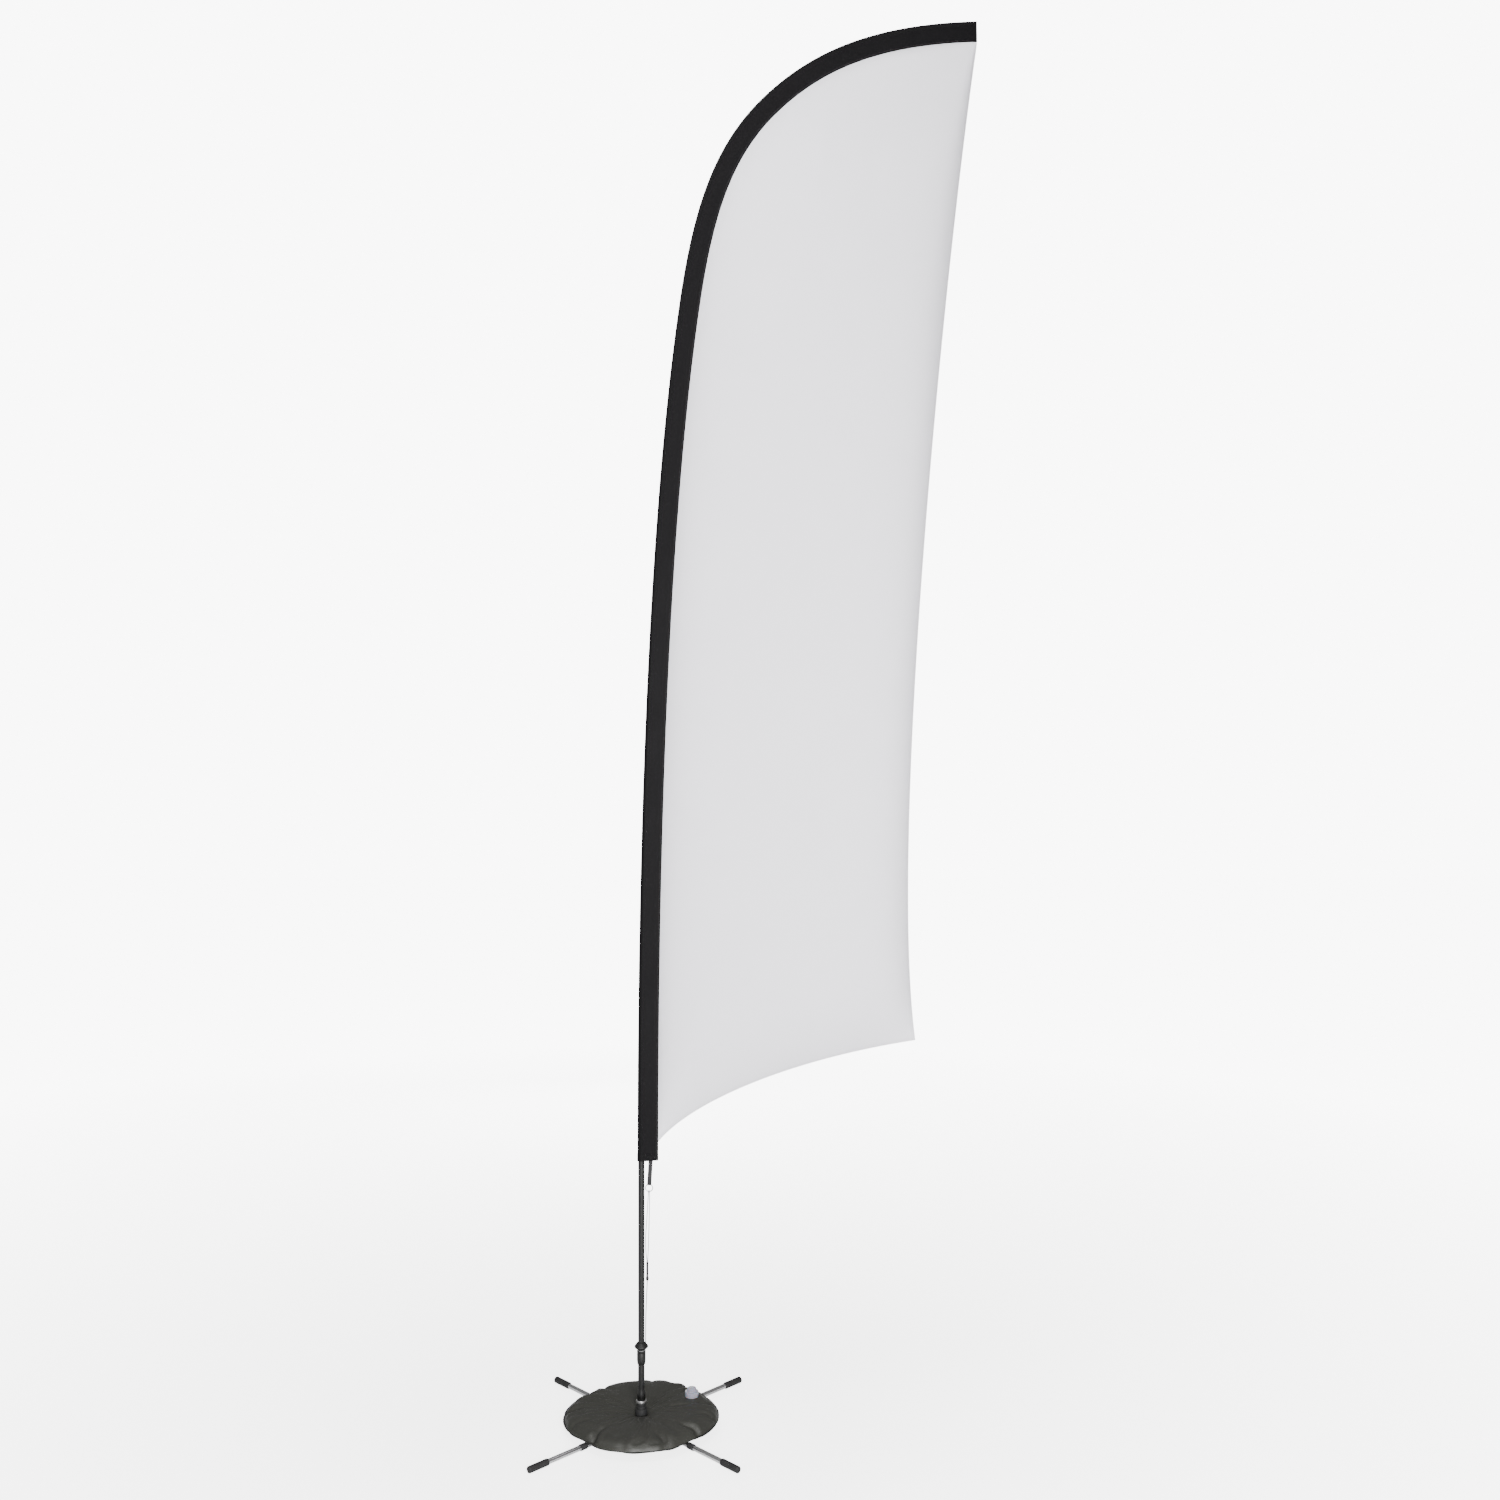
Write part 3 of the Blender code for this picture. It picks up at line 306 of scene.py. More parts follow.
# %% Node group: dust that settles on what faces up
def make_dust_group():
    group, start, end = new_group(
        "dust",
        [("Amount", "NodeSocketFloat", 0.15)],
        [("Mask", "NodeSocketFloat")],
    )
    shape = group.nodes.new("ShaderNodeNewGeometry")
    split = group.nodes.new("ShaderNodeSeparateXYZ")
    group.links.new(shape.outputs["Normal"], split.inputs[0])
    place = group.nodes.new("ShaderNodeTexCoord")
    drift = group.nodes.new("ShaderNodeTexNoise")
    drift.inputs["Scale"].default_value = 35.0
    drift.inputs["Detail"].default_value = 6.0
    group.links.new(place.outputs["Object"], drift.inputs["Vector"])
    facing = math_node(group, "MAXIMUM", split.outputs[2], 0.0)
    amount = math_node(group, "MULTIPLY", start.outputs[0], drift.outputs["Fac"])
    group.links.new(math_node(group, "MULTIPLY", facing, amount), end.inputs[0])
    return group


DUST = make_dust_group()

# %% [markdown]
# ## Materials
# One function builds the common tree: two close colours mixed by the grain, a lighter colour
# where edges wear or dust lies, roughness that follows the grain, and a bump.


# %% Material builder
def use_group(tree, group, **values):
    node = tree.nodes.new("ShaderNodeGroup")
    node.node_tree = group
    for label, value in values.items():
        node.inputs[label.replace("_", " ")].default_value = value
    return node


def mix_colours(tree, factor, first, second):
    node = tree.nodes.new("ShaderNodeMix")
    node.data_type = "RGBA"
    tree.links.new(factor, node.inputs[0])
    for index, value in ((6, first), (7, second)):
        if isinstance(value, tuple):
            node.inputs[index].default_value = (*value, 1.0)
        else:
            tree.links.new(value, node.inputs[index])
    return node.outputs[2]


def add_bump(tree, shader, height, distance, strength=1.0):
    bump = tree.nodes.new("ShaderNodeBump")
    bump.inputs["Strength"].default_value = strength
    bump.inputs["Distance"].default_value = distance
    tree.links.new(height, bump.inputs["Height"])
    before = shader.inputs["Normal"].links
    if before:
        tree.links.new(before[0].from_socket, bump.inputs["Normal"])
    tree.links.new(bump.outputs[0], shader.inputs["Normal"])


def base_material(name, dark, light, rough, metallic=0.0, grain=(20.0, 300.0, 0.3)):
    """Returns the material, its tree, its shader and the socket that carries its colour."""
    made = bpy.data.materials.new(name)
    made.use_nodes = True
    tree = made.node_tree
    shader = tree.nodes["Principled BSDF"]
    shader.inputs["Metallic"].default_value = metallic
    mottling = use_group(tree, GRAIN, Scale=grain[0], Fine_scale=grain[1], Fine_share=grain[2])
    colour = mix_colours(tree, mottling.outputs[0], dark, light)
    gloss = tree.nodes.new("ShaderNodeMapRange")
    gloss.inputs["From Min"].default_value = 0.3
    gloss.inputs["From Max"].default_value = 0.7
    gloss.inputs["To Min"].default_value = rough[0]
    gloss.inputs["To Max"].default_value = rough[1]
    tree.links.new(mottling.outputs[0], gloss.inputs["Value"])
    tree.links.new(gloss.outputs[0], shader.inputs["Roughness"])
    tree.links.new(colour, shader.inputs["Base Color"])
    return made, tree, shader, mottling, colour


def wear_edges(tree, shader, colour, worn, low, high):
    mask = use_group(tree, EDGE_WEAR, Low=low, High=high)
    mixed = mix_colours(tree, mask.outputs[0], colour, worn)
    tree.links.new(mixed, shader.inputs["Base Color"])
    return mixed


def lay_dust(tree, shader, colour, dust_colour, amount):
    mask = use_group(tree, DUST, Amount=amount)
    mixed = mix_colours(tree, mask.outputs[0], colour, dust_colour)
    tree.links.new(mixed, shader.inputs["Base Color"])
    return mixed


# %% [markdown]
# ### Cloth
# The panel is white knitted polyester: matt, a little sheen where it turns away, and fine
# threads that only show from close by. The pocket is a denser black satin, so it is smoother.


# %% Cloth materials
def cloth_material(name, dark, light, rough, threads, depth, sheen, specular=0.3):
    made, tree, shader, mottling, _ = base_material(name, dark, light, rough, grain=(6.0, 900.0, 0.35))
    weave = use_group(tree, WEAVE, Threads_per_metre=threads)
    add_bump(tree, shader, weave.outputs[0], depth, 0.6)
    add_bump(tree, shader, mottling.outputs[1], depth, 0.4)
    shader.inputs["Sheen Weight"].default_value = sheen
    shader.inputs["Sheen Roughness"].default_value = 0.5
    shader.inputs["Specular IOR Level"].default_value = specular
    return made


PANEL_CLOTH = cloth_material(
    "white_polyester", (0.70, 0.69, 0.73), (0.76, 0.75, 0.79), (0.78, 0.9), 1100.0, 0.00012, 0.15)
HEM_CLOTH = cloth_material(
    "white_hem", (0.66, 0.65, 0.69), (0.72, 0.71, 0.75), (0.78, 0.9), 1100.0, 0.00015, 0.15)
SLEEVE_CLOTH = cloth_material(
    "black_satin", (0.0016, 0.0014, 0.0017), (0.0038, 0.0034, 0.0040), (0.5, 0.65), 1300.0, 0.00010,
    0.01, 0.07)
WEBBING = cloth_material(
    "black_webbing", (0.008, 0.008, 0.009), (0.020, 0.020, 0.021), (0.7, 0.85), 450.0, 0.00035, 0.2)
THREAD = cloth_material(
    "sewing_thread", (0.030, 0.026, 0.028), (0.060, 0.050, 0.052), (0.6, 0.75), 900.0, 0.0001, 0.1)
GREY_BRAID = cloth_material(
    "grey_braid", (0.24, 0.24, 0.25), (0.38, 0.38, 0.39), (0.7, 0.85), 700.0, 0.00025, 0.2)
BLACK_BRAID = cloth_material(
    "black_braid", (0.009, 0.009, 0.009), (0.022, 0.022, 0.022), (0.7, 0.85), 700.0, 0.00025, 0.2)


# %% [markdown]
# ### Coated bag cloth, metal, rubber and plastic
# The bag is coated cloth: the coating fills the weave, so it has a soft leathery grain, picks
# up dust on top and shines a little where it bulges. The hard finishes differ mostly in their
# roughness and in how bright their worn edges are.


# %% Bag and hard materials
def bag_material(name, dark, light):
    made, tree, shader, mottling, colour = base_material(
        name, dark, light, (0.42, 0.60), grain=(9.0, 420.0, 0.35))
    lay_dust(tree, shader, colour, (0.060, 0.058, 0.052), 0.22)
    add_bump(tree, shader, mottling.outputs[1], 0.0004, 0.5)
    shader.inputs["Specular IOR Level"].default_value = 0.45
    return made


def metal_material(name, dark, light, rough, worn, grain=(60.0, 900.0, 0.4)):
    made, tree, shader, mottling, colour = base_material(name, dark, light, rough, 1.0, grain)
    wear_edges(tree, shader, colour, worn, 0.60, 0.80)
    add_bump(tree, shader, mottling.outputs[1], 0.00005, 0.4)
    return made


def moulded_material(name, dark, light, rough, worn, depth=0.0001):
    made, tree, shader, mottling, colour = base_material(name, dark, light, rough, grain=(40.0, 700.0, 0.4))
    mixed = wear_edges(tree, shader, colour, worn, 0.60, 0.80)
    lay_dust(tree, shader, mixed, (0.05, 0.05, 0.047), 0.08)
    shader.inputs["Specular IOR Level"].default_value = 0.35
    add_bump(tree, shader, mottling.outputs[1], depth, 0.5)
    return made


BAG_CLOTH = bag_material("olive_coated_cloth", (0.0118, 0.0123, 0.0096), (0.0188, 0.0194, 0.0155))
BAG_RIM_CLOTH = bag_material("welded_rim", (0.0050, 0.0050, 0.0052), (0.0090, 0.0090, 0.0090))
CHROME = metal_material(
    "chrome_tube", (0.52, 0.52, 0.53), (0.62, 0.62, 0.63),
    (0.16, 0.28), (0.75, 0.75, 0.75))
STEEL = metal_material("plated_steel", (0.42, 0.42, 0.42), (0.56, 0.56, 0.56), (0.26, 0.42), (0.7, 0.7, 0.7))
BLACK_METAL = moulded_material(
    "black_paint", (0.0016, 0.0016, 0.0016), (0.0034, 0.0034, 0.0033),
    (0.30, 0.45), (0.03, 0.03, 0.03), 0.00004)
BLACK_FIBREGLASS = moulded_material(
    "black_fibreglass", (0.008, 0.008, 0.009), (0.016, 0.016, 0.017),
    (0.25, 0.4), (0.06, 0.06, 0.06), 0.00003)
HARD_WEBBING = moulded_material(
    "band_webbing", (0.008, 0.008, 0.009), (0.020, 0.020, 0.021),
    (0.7, 0.85), (0.05, 0.05, 0.05), 0.0003)
BLACK_PLASTIC = moulded_material(
    "black_plastic", (0.0026, 0.0026, 0.0026), (0.0052, 0.0052, 0.0052),
    (0.42, 0.6), (0.06, 0.06, 0.06))
BLACK_RUBBER = moulded_material(
    "black_rubber", (0.0060, 0.0060, 0.0064), (0.0115, 0.0115, 0.0120),
    (0.62, 0.82), (0.07, 0.07, 0.07), 0.0002)
GREY_NYLON = moulded_material(
    "grey_nylon", (0.34, 0.34, 0.35), (0.46, 0.46, 0.47),
    (0.4, 0.55), (0.6, 0.6, 0.6))


def milky_material():
    made, tree, shader, mottling, _ = base_material(
        "milky_plastic", (0.27, 0.27, 0.34), (0.35, 0.35, 0.42), (0.2, 0.34), grain=(30.0, 500.0, 0.3))
    shader.inputs["Subsurface Weight"].default_value = 0.35
    shader.inputs["Subsurface Scale"].default_value = 0.004
    shader.inputs["Transmission Weight"].default_value = 0.25
    shader.inputs["IOR"].default_value = 1.46
    add_bump(tree, shader, mottling.outputs[1], 0.00005, 0.3)
    return made


MILKY = milky_material()
print("materials:", len(bpy.data.materials))

# %% [markdown]
# ## Tension cords
# An elastic cord pulls the sleeve's hem down to the collar and so keeps the whole flag tight.
# A cord is best made as a tube that is swept along a smooth line through a few given points.
# The tube is a mesh rather than a curve, so that its braid can follow its length.

# %% Routes of the cords
CORD_RADIUS = 0.0013
CORD_FRONT_ROUTE = (
    (0.0262, 0.0000, 0.7391), (0.0258, -0.0004, 0.7000), (0.0246, -0.0010, 0.6400),
    (0.0226, -0.0015, 0.5700), (0.0208, -0.0017, 0.5300), (0.0206, -0.0017, 0.5179),
)
CORD_REAR_ROUTE = (
    (0.0226, 0.0000, 0.7392), (0.0205, 0.0012, 0.7050), (0.0170, 0.0042, 0.6500),
    (0.0135, 0.0082, 0.6030), (0.0130, 0.0090, 0.5700), (0.0150, 0.0058, 0.5380),
    (0.0178, 0.0024, 0.5230), (0.0182, 0.0017, 0.5179),
)
CORD_LOWER_ROUTE = (
    (0.0190, 0.0000, 0.4583), (0.0172, 0.0000, 0.4200), (0.0146, 0.0000, 0.3550),
    (0.0138, 0.0000, 0.3000), (0.0138, 0.0000, 0.2700), (0.0138, 0.0000, 0.2534),
)


def smooth_route(points, step):
    """Points about a step apart on a Catmull-Rom curve through given ones."""
    knots = [Vector(point) for point in points]
    knots = [knots[0] * 2 - knots[1]] + knots + [knots[-1] * 2 - knots[-2]]
    route = []
    for index in range(1, len(knots) - 2):
        before, start, end, after = knots[index - 1:index + 3]
        parts = max(1, round((end - start).length / step))
        for part in range(parts):
            t = part / parts
            route.append(0.5 * (
                2 * start + (end - before) * t
                + (2 * before - 5 * start + 4 * end - after) * t ** 2
                + (3 * start - before - 3 * end + after) * t ** 3
            ))
    route.append(knots[-2])
    return route


def route_frames(route):
    """For each point of a route: the point, two directions across it, and its length so far."""
    frames = []
    side_way = Vector((0.0, 1.0, 0.0))
    length = 0.0
    for index, place in enumerate(route):
        after = route[min(index + 1, len(route) - 1)]
        before = route[max(index - 1, 0)]
        forward = (after - before).normalized()
        if index:
            length += (place - route[index - 1]).length
        side_way = (side_way - forward * side_way.dot(forward)).normalized()
        frames.append((place, side_way, forward.cross(side_way), length))
    return frames


def swept_tube(name, route, radius_at, sides=12, capped=True):
    """A tube along a route; radius_at(length, angle) lets a braid or a taper show."""
    frames = route_frames(route)

    def place(u, v):
        centre, side_way, up_way, length = frames[round(v * (len(frames) - 1))]
        angle = 2 * math.pi * u
        radius = radius_at(length, angle)
        return centre + side_way * (radius * math.cos(angle)) + up_way * (radius * math.sin(angle))

    size = (2 * math.pi * radius_at(0.0, 0.0), frames[-1][3])
    piece = stretched_grid(name, sides, len(frames) - 1, place, size, closed=True, capped=capped)
    smooth_by_angle(piece, 50)
    return piece


def braid_radius(length, angle):
    """Two strands of ridges that wind in opposite ways, as a braided cover has."""
    turn = 2 * math.pi * length / 0.012
    return CORD_RADIUS * (1.0 + 0.035 * math.cos(4 * (angle - turn)) + 0.035 * math.cos(4 * (angle + turn)))


# %% Cords
for cord_name, points, finish, cord_slot in (
    ("tension_cord_front", CORD_FRONT_ROUTE, GREY_BRAID, "grey_cord"),
    ("tension_cord_rear", CORD_REAR_ROUTE, GREY_BRAID, "grey_cord"),
    ("tension_cord_lower", CORD_LOWER_ROUTE, BLACK_BRAID, "black_cord"),
):
    braid = swept_tube(f"{cord_name}_braid", smooth_route(points, 0.0015), braid_radius)
    settle(braid, "mast", cord_slot, finish, cord_name)

# %% [markdown]
# ## Lines of the flag
# The sleeve's outer edge is the flag's one given line: almost straight for two metres, then a
# hook. Everything else follows from it. The pole lies a little inside the edge, the seam a
# sleeve's width inside it, and the panel spans from the seam to its own free edge.

# %% Curves in the plane of the flag
SLEEVE_EDGE = (
    ((-0.0118, 0.8405), (-0.0118, 1.5700), (0.0064, 2.7400), (0.1159, 3.5252)),
    ((0.1159, 3.5252), (0.1591, 3.8350), (0.2179, 4.0566), (0.3935, 4.2203)),
    ((0.3935, 4.2203), (0.5203, 4.3386), (0.7029, 4.4469), (1.0643, 4.4553)),
)
SLEEVE_WIDTH = 0.064
SLEEVE_WALL = 0.0010
SLEEVE_EASE = 0.0008
SLEEVE_SEAM = 0.0012
POLE_RADIUS = 0.010
POLE_TIP_RADIUS = 0.004
POLE_STRAIGHT = 1.22
POLE_BOTTOM = 0.2396
FREE_EDGE = ((0.9770, 3.7890), (0.7800, 1.9020), (0.8690, 1.2226))
LOWER_EDGE = ((0.8690, 1.2226), (0.5300, 1.1720), (0.1700, 1.0450))
HEM_START = 0.9019


def bezier(points, t):
    a, b, c, d = [Vector(point) for point in points]
    s = 1.0 - t
    return a * s ** 3 + b * (3 * s * s * t) + c * (3 * s * t * t) + d * t ** 3


class Line:
    """A flat curve that is read by its length, with its slope at each place."""

    def __init__(self, points):
        self.points = points
        self.lengths = [0.0]
        for before, after in zip(points, points[1:]):
            self.lengths.append(self.lengths[-1] + (after - before).length)
        self.total = self.lengths[-1]
        self.xs = [point.x for point in points]
        self.zs = [point.y for point in points]

    def at(self, length):
        return Vector((float(np.interp(length, self.lengths, self.xs)),
                       float(np.interp(length, self.lengths, self.zs))))

    def slope(self, length):
        reach = 0.02
        low = max(0.0, length - reach)
        high = min(self.total, length + reach)
        return (self.at(high) - self.at(low)).normalized()


edge_points = [bezier(part, step / 120) for part in SLEEVE_EDGE for step in range(120)]
edge_points.append(Vector(SLEEVE_EDGE[-1][-1]))
EDGE = Line(edge_points)
HEM_HEIGHT = SLEEVE_EDGE[0][0][1]
POLE_LENGTH = HEM_HEIGHT - POLE_BOTTOM + EDGE.total
print("sleeve edge", round(EDGE.total, 3), "m, pole", round(POLE_LENGTH, 3), "m")


def inward_at(length):
    slope = EDGE.slope(length)
    return Vector((slope.y, -slope.x))


def pole_radius(length):
    """The pole's radius beside this length of the sleeve."""
    share = (HEM_HEIGHT - POLE_BOTTOM + length - POLE_STRAIGHT) / (POLE_LENGTH - POLE_STRAIGHT)
    return POLE_RADIUS + (POLE_TIP_RADIUS - POLE_RADIUS) * min(max(share, 0.0), 1.0)


seam_points = []
for step in range(361):
    reach = EDGE.total * step / 360
    seam_points.append(EDGE.at(reach) + inward_at(reach) * SLEEVE_WIDTH)
SEAM = Line(seam_points)
panel_start = min(range(361), key=lambda step: abs(seam_points[step].y - HEM_START) + (step > 120) * 9)
PANEL_SEAM = Line(seam_points[panel_start:])
free_points = [bezier((SEAM.points[-1], *FREE_EDGE), step / 200) for step in range(201)]
PANEL_FREE = Line(free_points[::-1])
lower_points = [bezier((*LOWER_EDGE, PANEL_SEAM.points[0]), step / 80) for step in range(81)]
PANEL_LOWER = Line(lower_points[::-1])
print("seam", round(PANEL_SEAM.total, 3), "free edge", round(PANEL_FREE.total, 3),
      "lower edge", round(PANEL_LOWER.total, 3))

# %% [markdown]
# ## The white panel
# The panel is cut with a slightly curved seam, so the bent pole pulls it flat and it fills like
# a shallow sail. Its form is a surface stretched between the three edges. A belly is added that
# swells fast near the edges and stays even in the middle, then the long soft folds that run from
# the hook down to the pole, and last the small puckers that the stitching draws along the seam.

# %% Form of the panel
BELLY_DEPTH = 0.088
# each fold: its top, its bottom, height of the ridge and half its width
FOLDS = (
    ((0.586, 4.157), (0.551, 3.823), 0.0024, 0.022),
    ((0.551, 3.823), (0.418, 3.404), 0.0022, 0.024),
    ((0.418, 3.404), (0.367, 3.150), 0.0018, 0.022),
    ((0.535, 3.369), (0.469, 3.068), 0.0016, 0.020),
    ((0.669, 3.287), (0.586, 3.068), 0.0018, 0.020),
    ((0.786, 3.017), (0.688, 2.648), 0.0020, 0.026),
    ((0.669, 2.569), (0.570, 2.302), 0.0017, 0.024),
    ((0.771, 2.534), (0.653, 2.217), 0.0019, 0.026),
    ((0.570, 1.629), (0.453, 1.327), 0.0020, 0.026),
    ((0.669, 1.645), (0.570, 1.410), 0.0017, 0.024),
    ((0.300, 2.900), (0.210, 2.350), -0.0016, 0.030),
    ((0.420, 2.150), (0.330, 1.700), -0.0015, 0.032),
    ((0.240, 1.560), (0.120, 1.120), 0.0018, 0.022),
    ((0.760, 4.080), (0.700, 3.700), -0.0016, 0.026),
)


def panel_flat(u, v):
    """The place in the flag's plane: u from the seam to the free edge, v from the hem to the tip."""
    left = PANEL_SEAM.at(v * PANEL_SEAM.total)
    right = PANEL_FREE.at(v * PANEL_FREE.total)
    low = PANEL_LOWER.at(u * PANEL_LOWER.total)
    straight_low = PANEL_LOWER.points[0].lerp(PANEL_LOWER.points[-1], u)
    return left.lerp(right, u) + (low - straight_low) * (1.0 - v) ** 2


def fold_height(place, fold):
    top, bottom = Vector(fold[0]), Vector(fold[1])
    way = bottom - top
    share = min(max((place - top).dot(way) / way.length_squared, -0.4), 1.4)
    beside = (place - (top + way * share)).length
    ends = max(0.0, 1.0 - abs(share - 0.5) / 0.9) ** 1.5
    return fold[2] * ends * math.exp(-(beside / fold[3]) ** 2)


def panel_depth(u, v, place):
    """How far the cloth stands out of the flag's plane, towards the viewer."""
    width = (PANEL_FREE.at(v * PANEL_FREE.total) - PANEL_SEAM.at(v * PANEL_SEAM.total)).length
    across = (1.0 - 0.62 * (1.0 - u) ** 4 - 0.38 * (1.0 - u) ** 14) * (1.0 - 0.5 * u ** 7 - 0.5 * u ** 20)
    rise = min(v * PANEL_SEAM.total / 0.40, 1.0)
    belly = BELLY_DEPTH * min(width / 0.80, 1.0) * across * (1.0 - (1.0 - rise) ** 3)
    folds = sum(fold_height(place, fold) for fold in FOLDS)
    sway = 0.0030 * noise.noise(Vector((place.x * 2.6, place.y * 1.3, 4.0)))
    from_seam = u * width
    along = v * PANEL_SEAM.total
    strength = 0.0009 + 0.0011 * math.exp(-along / 0.5)
    wander = noise.noise(Vector((along * 9.0, 0.0, 7.0)))
    pucker = strength * math.exp(-from_seam / 0.045) * math.sin(along * 120.0 + 5.0 * wander)
    pucker *= min(from_seam / 0.008, 1.0) * (0.5 + wander)
    edge = min(from_seam / 0.03, (1.0 - u) * width / 0.03 + 0.2, 1.0)
    return belly + (folds + sway) * max(edge, 0.0) + pucker


def panel_place(u, v, lift=0.0):
    place = panel_flat(u, v)
    return Vector((place.x, -panel_depth(u, v, place) - lift, place.y))


# %% Panel
PANEL_THICKNESS = 0.0006
panel = stretched_grid("white_panel", 96, 420, lambda u, v: panel_place(u ** 1.25, v * 0.9985),
                       (0.90, 3.40))
wall = panel.modifiers.new("Solidify", "SOLIDIFY")
wall.thickness = PANEL_THICKNESS
wall.offset = 0.0
apply_modifiers(panel)
smooth_by_angle(panel, 60)
settle(panel, "mast", "white_cloth", PANEL_CLOTH, "flag_panel")


# %% [markdown]
# ## Hems of the panel
# A raw edge would fray, so the free edge and the lower edge are folded over twice and sewn.
# The hem is a narrow band round both faces of the cloth, and it shows as a slightly thicker,
# slightly darker line with its stitching just inside.

# %% Hems and stitches
HEM_WIDTH = 0.011
HEM_LIFT = 0.0008
HEM_ROUND = (
    (1.0, 1.0), (0.5, 1.1), (0.02, 0.9), (-0.08, 0.0), (0.02, -0.9), (0.5, -1.1), (1.0, -1.0), (1.0, 1.0),
)


def hem_point(kind, along, inside, lift):
    """A point on a hem: inside is the distance in from the edge."""
    if kind == "free":
        v = along * 0.995
        width = (PANEL_FREE.at(v * PANEL_FREE.total) - PANEL_SEAM.at(v * PANEL_SEAM.total)).length
        u = 1.0 - min(inside / max(width, 0.03), 0.5)
        place = panel_place(min(u, 1.0), v, lift)
        if u > 1.0:
            place.x += (u - 1.0) * width
        return place
    v = inside / PANEL_FREE.total
    place = panel_place(along, max(v, 0.0), lift)
    if v < 0.0:
        place.z += v * PANEL_FREE.total
    return place


def make_hem(name, kind, rows):
    def place(u, v):
        inside, lift = HEM_ROUND[round(u * (len(HEM_ROUND) - 1))]
        return hem_point(kind, v, inside * HEM_WIDTH, lift * HEM_LIFT)

    length = PANEL_FREE.total if kind == "free" else PANEL_LOWER.total
    hem = stretched_grid(name, len(HEM_ROUND) - 1, rows, place, (0.03, length), closed=True, capped=True)
    smooth_by_angle(hem, 60)
    return settle(hem, "mast", "white_cloth", HEM_CLOTH)


def make_stitches(name, place_at, length, body, slot, finish, pitch=0.0042):
    """One row of thread: place_at(length) gives a point on the cloth for each needle hole."""
    count = int(length / pitch)
    deselect_all()
    bpy.ops.mesh.primitive_cylinder_add(vertices=5, radius=0.00032, depth=1.0, end_fill_type="NGON")
    stitch = bpy.context.object
    bpy.ops.object.mode_set(mode="EDIT")
    bpy.ops.mesh.select_all(action="SELECT")
    bpy.ops.mesh.subdivide(number_cuts=1)
    bpy.ops.object.mode_set(mode="OBJECT")
    form = [vertex.co.copy() for vertex in stitch.data.vertices]
    faces = [tuple(face.vertices) for face in stitch.data.polygons]
    points = []
    shapes = []
    for index in range(count):
        start = place_at((index + 0.15) * pitch)
        end = place_at((index + 0.80) * pitch)
        turn = (end - start).to_track_quat("Z", "Y").to_matrix()
        offset = len(points)
        for co in form:
            arch = 1.0 - 0.8 * abs(co.z) * 2
            thin = 0.6 + 0.4 * arch
            local = Vector((co.x * thin, co.y * thin, co.z * (end - start).length))
            points.append((start + end) / 2 + turn @ local)
        shapes.extend(tuple(offset + corner for corner in face) for face in faces)
    stitch.name = name
    stitch.data.clear_geometry()
    stitch.data.from_pydata([tuple(point) for point in points], [], shapes)
    stitch.data.update()
    layer = stitch.data.uv_layers.new(name="cloth_uv")
    for loop in stitch.data.loops:
        co = stitch.data.vertices[loop.vertex_index].co
        layer.data[loop.index].uv = (co.x, co.z)
    smooth_by_angle(stitch, 60)
    return settle(stitch, body, slot, finish)


free_hem = make_hem("free_edge_hem", "free", 420)
lower_hem = make_hem("lower_edge_hem", "lower", 120)
free_stitches = make_stitches(
    "free_hem_stitches",
    lambda length: hem_point("free", length / PANEL_FREE.total, 0.009, 0.0010),
    PANEL_FREE.total * 0.97, "mast", "white_cloth", HEM_CLOTH)
lower_stitches = make_stitches(
    "lower_hem_stitches",
    lambda length: hem_point("lower", length / PANEL_LOWER.total, 0.009, 0.0010),
    PANEL_LOWER.total * 0.99, "mast", "white_cloth", HEM_CLOTH)

# %% [markdown]
# ## The pole sleeve
# The sleeve is a strip of black satin folded round the pole and sewn to itself and to the
# panel in one seam. Its section is a drop: round over the pole and pinched flat at the seam.
# Where the pole bends, the inside of the bend is shorter than the cloth, and it gathers there.

# %% Sleeve
SLEEVE_ARC = math.radians(70)
SLEEVE_ROWS = 640


def sleeve_section(around):
    """Distance inward and height out of the plane, as shares, for one place round the drop."""
    if around <= 0.2:
        return "upper", around / 0.2
    if around >= 0.8:
        return "lower", (1.0 - around) / 0.2
    return "arc", (around - 0.2) / 0.6


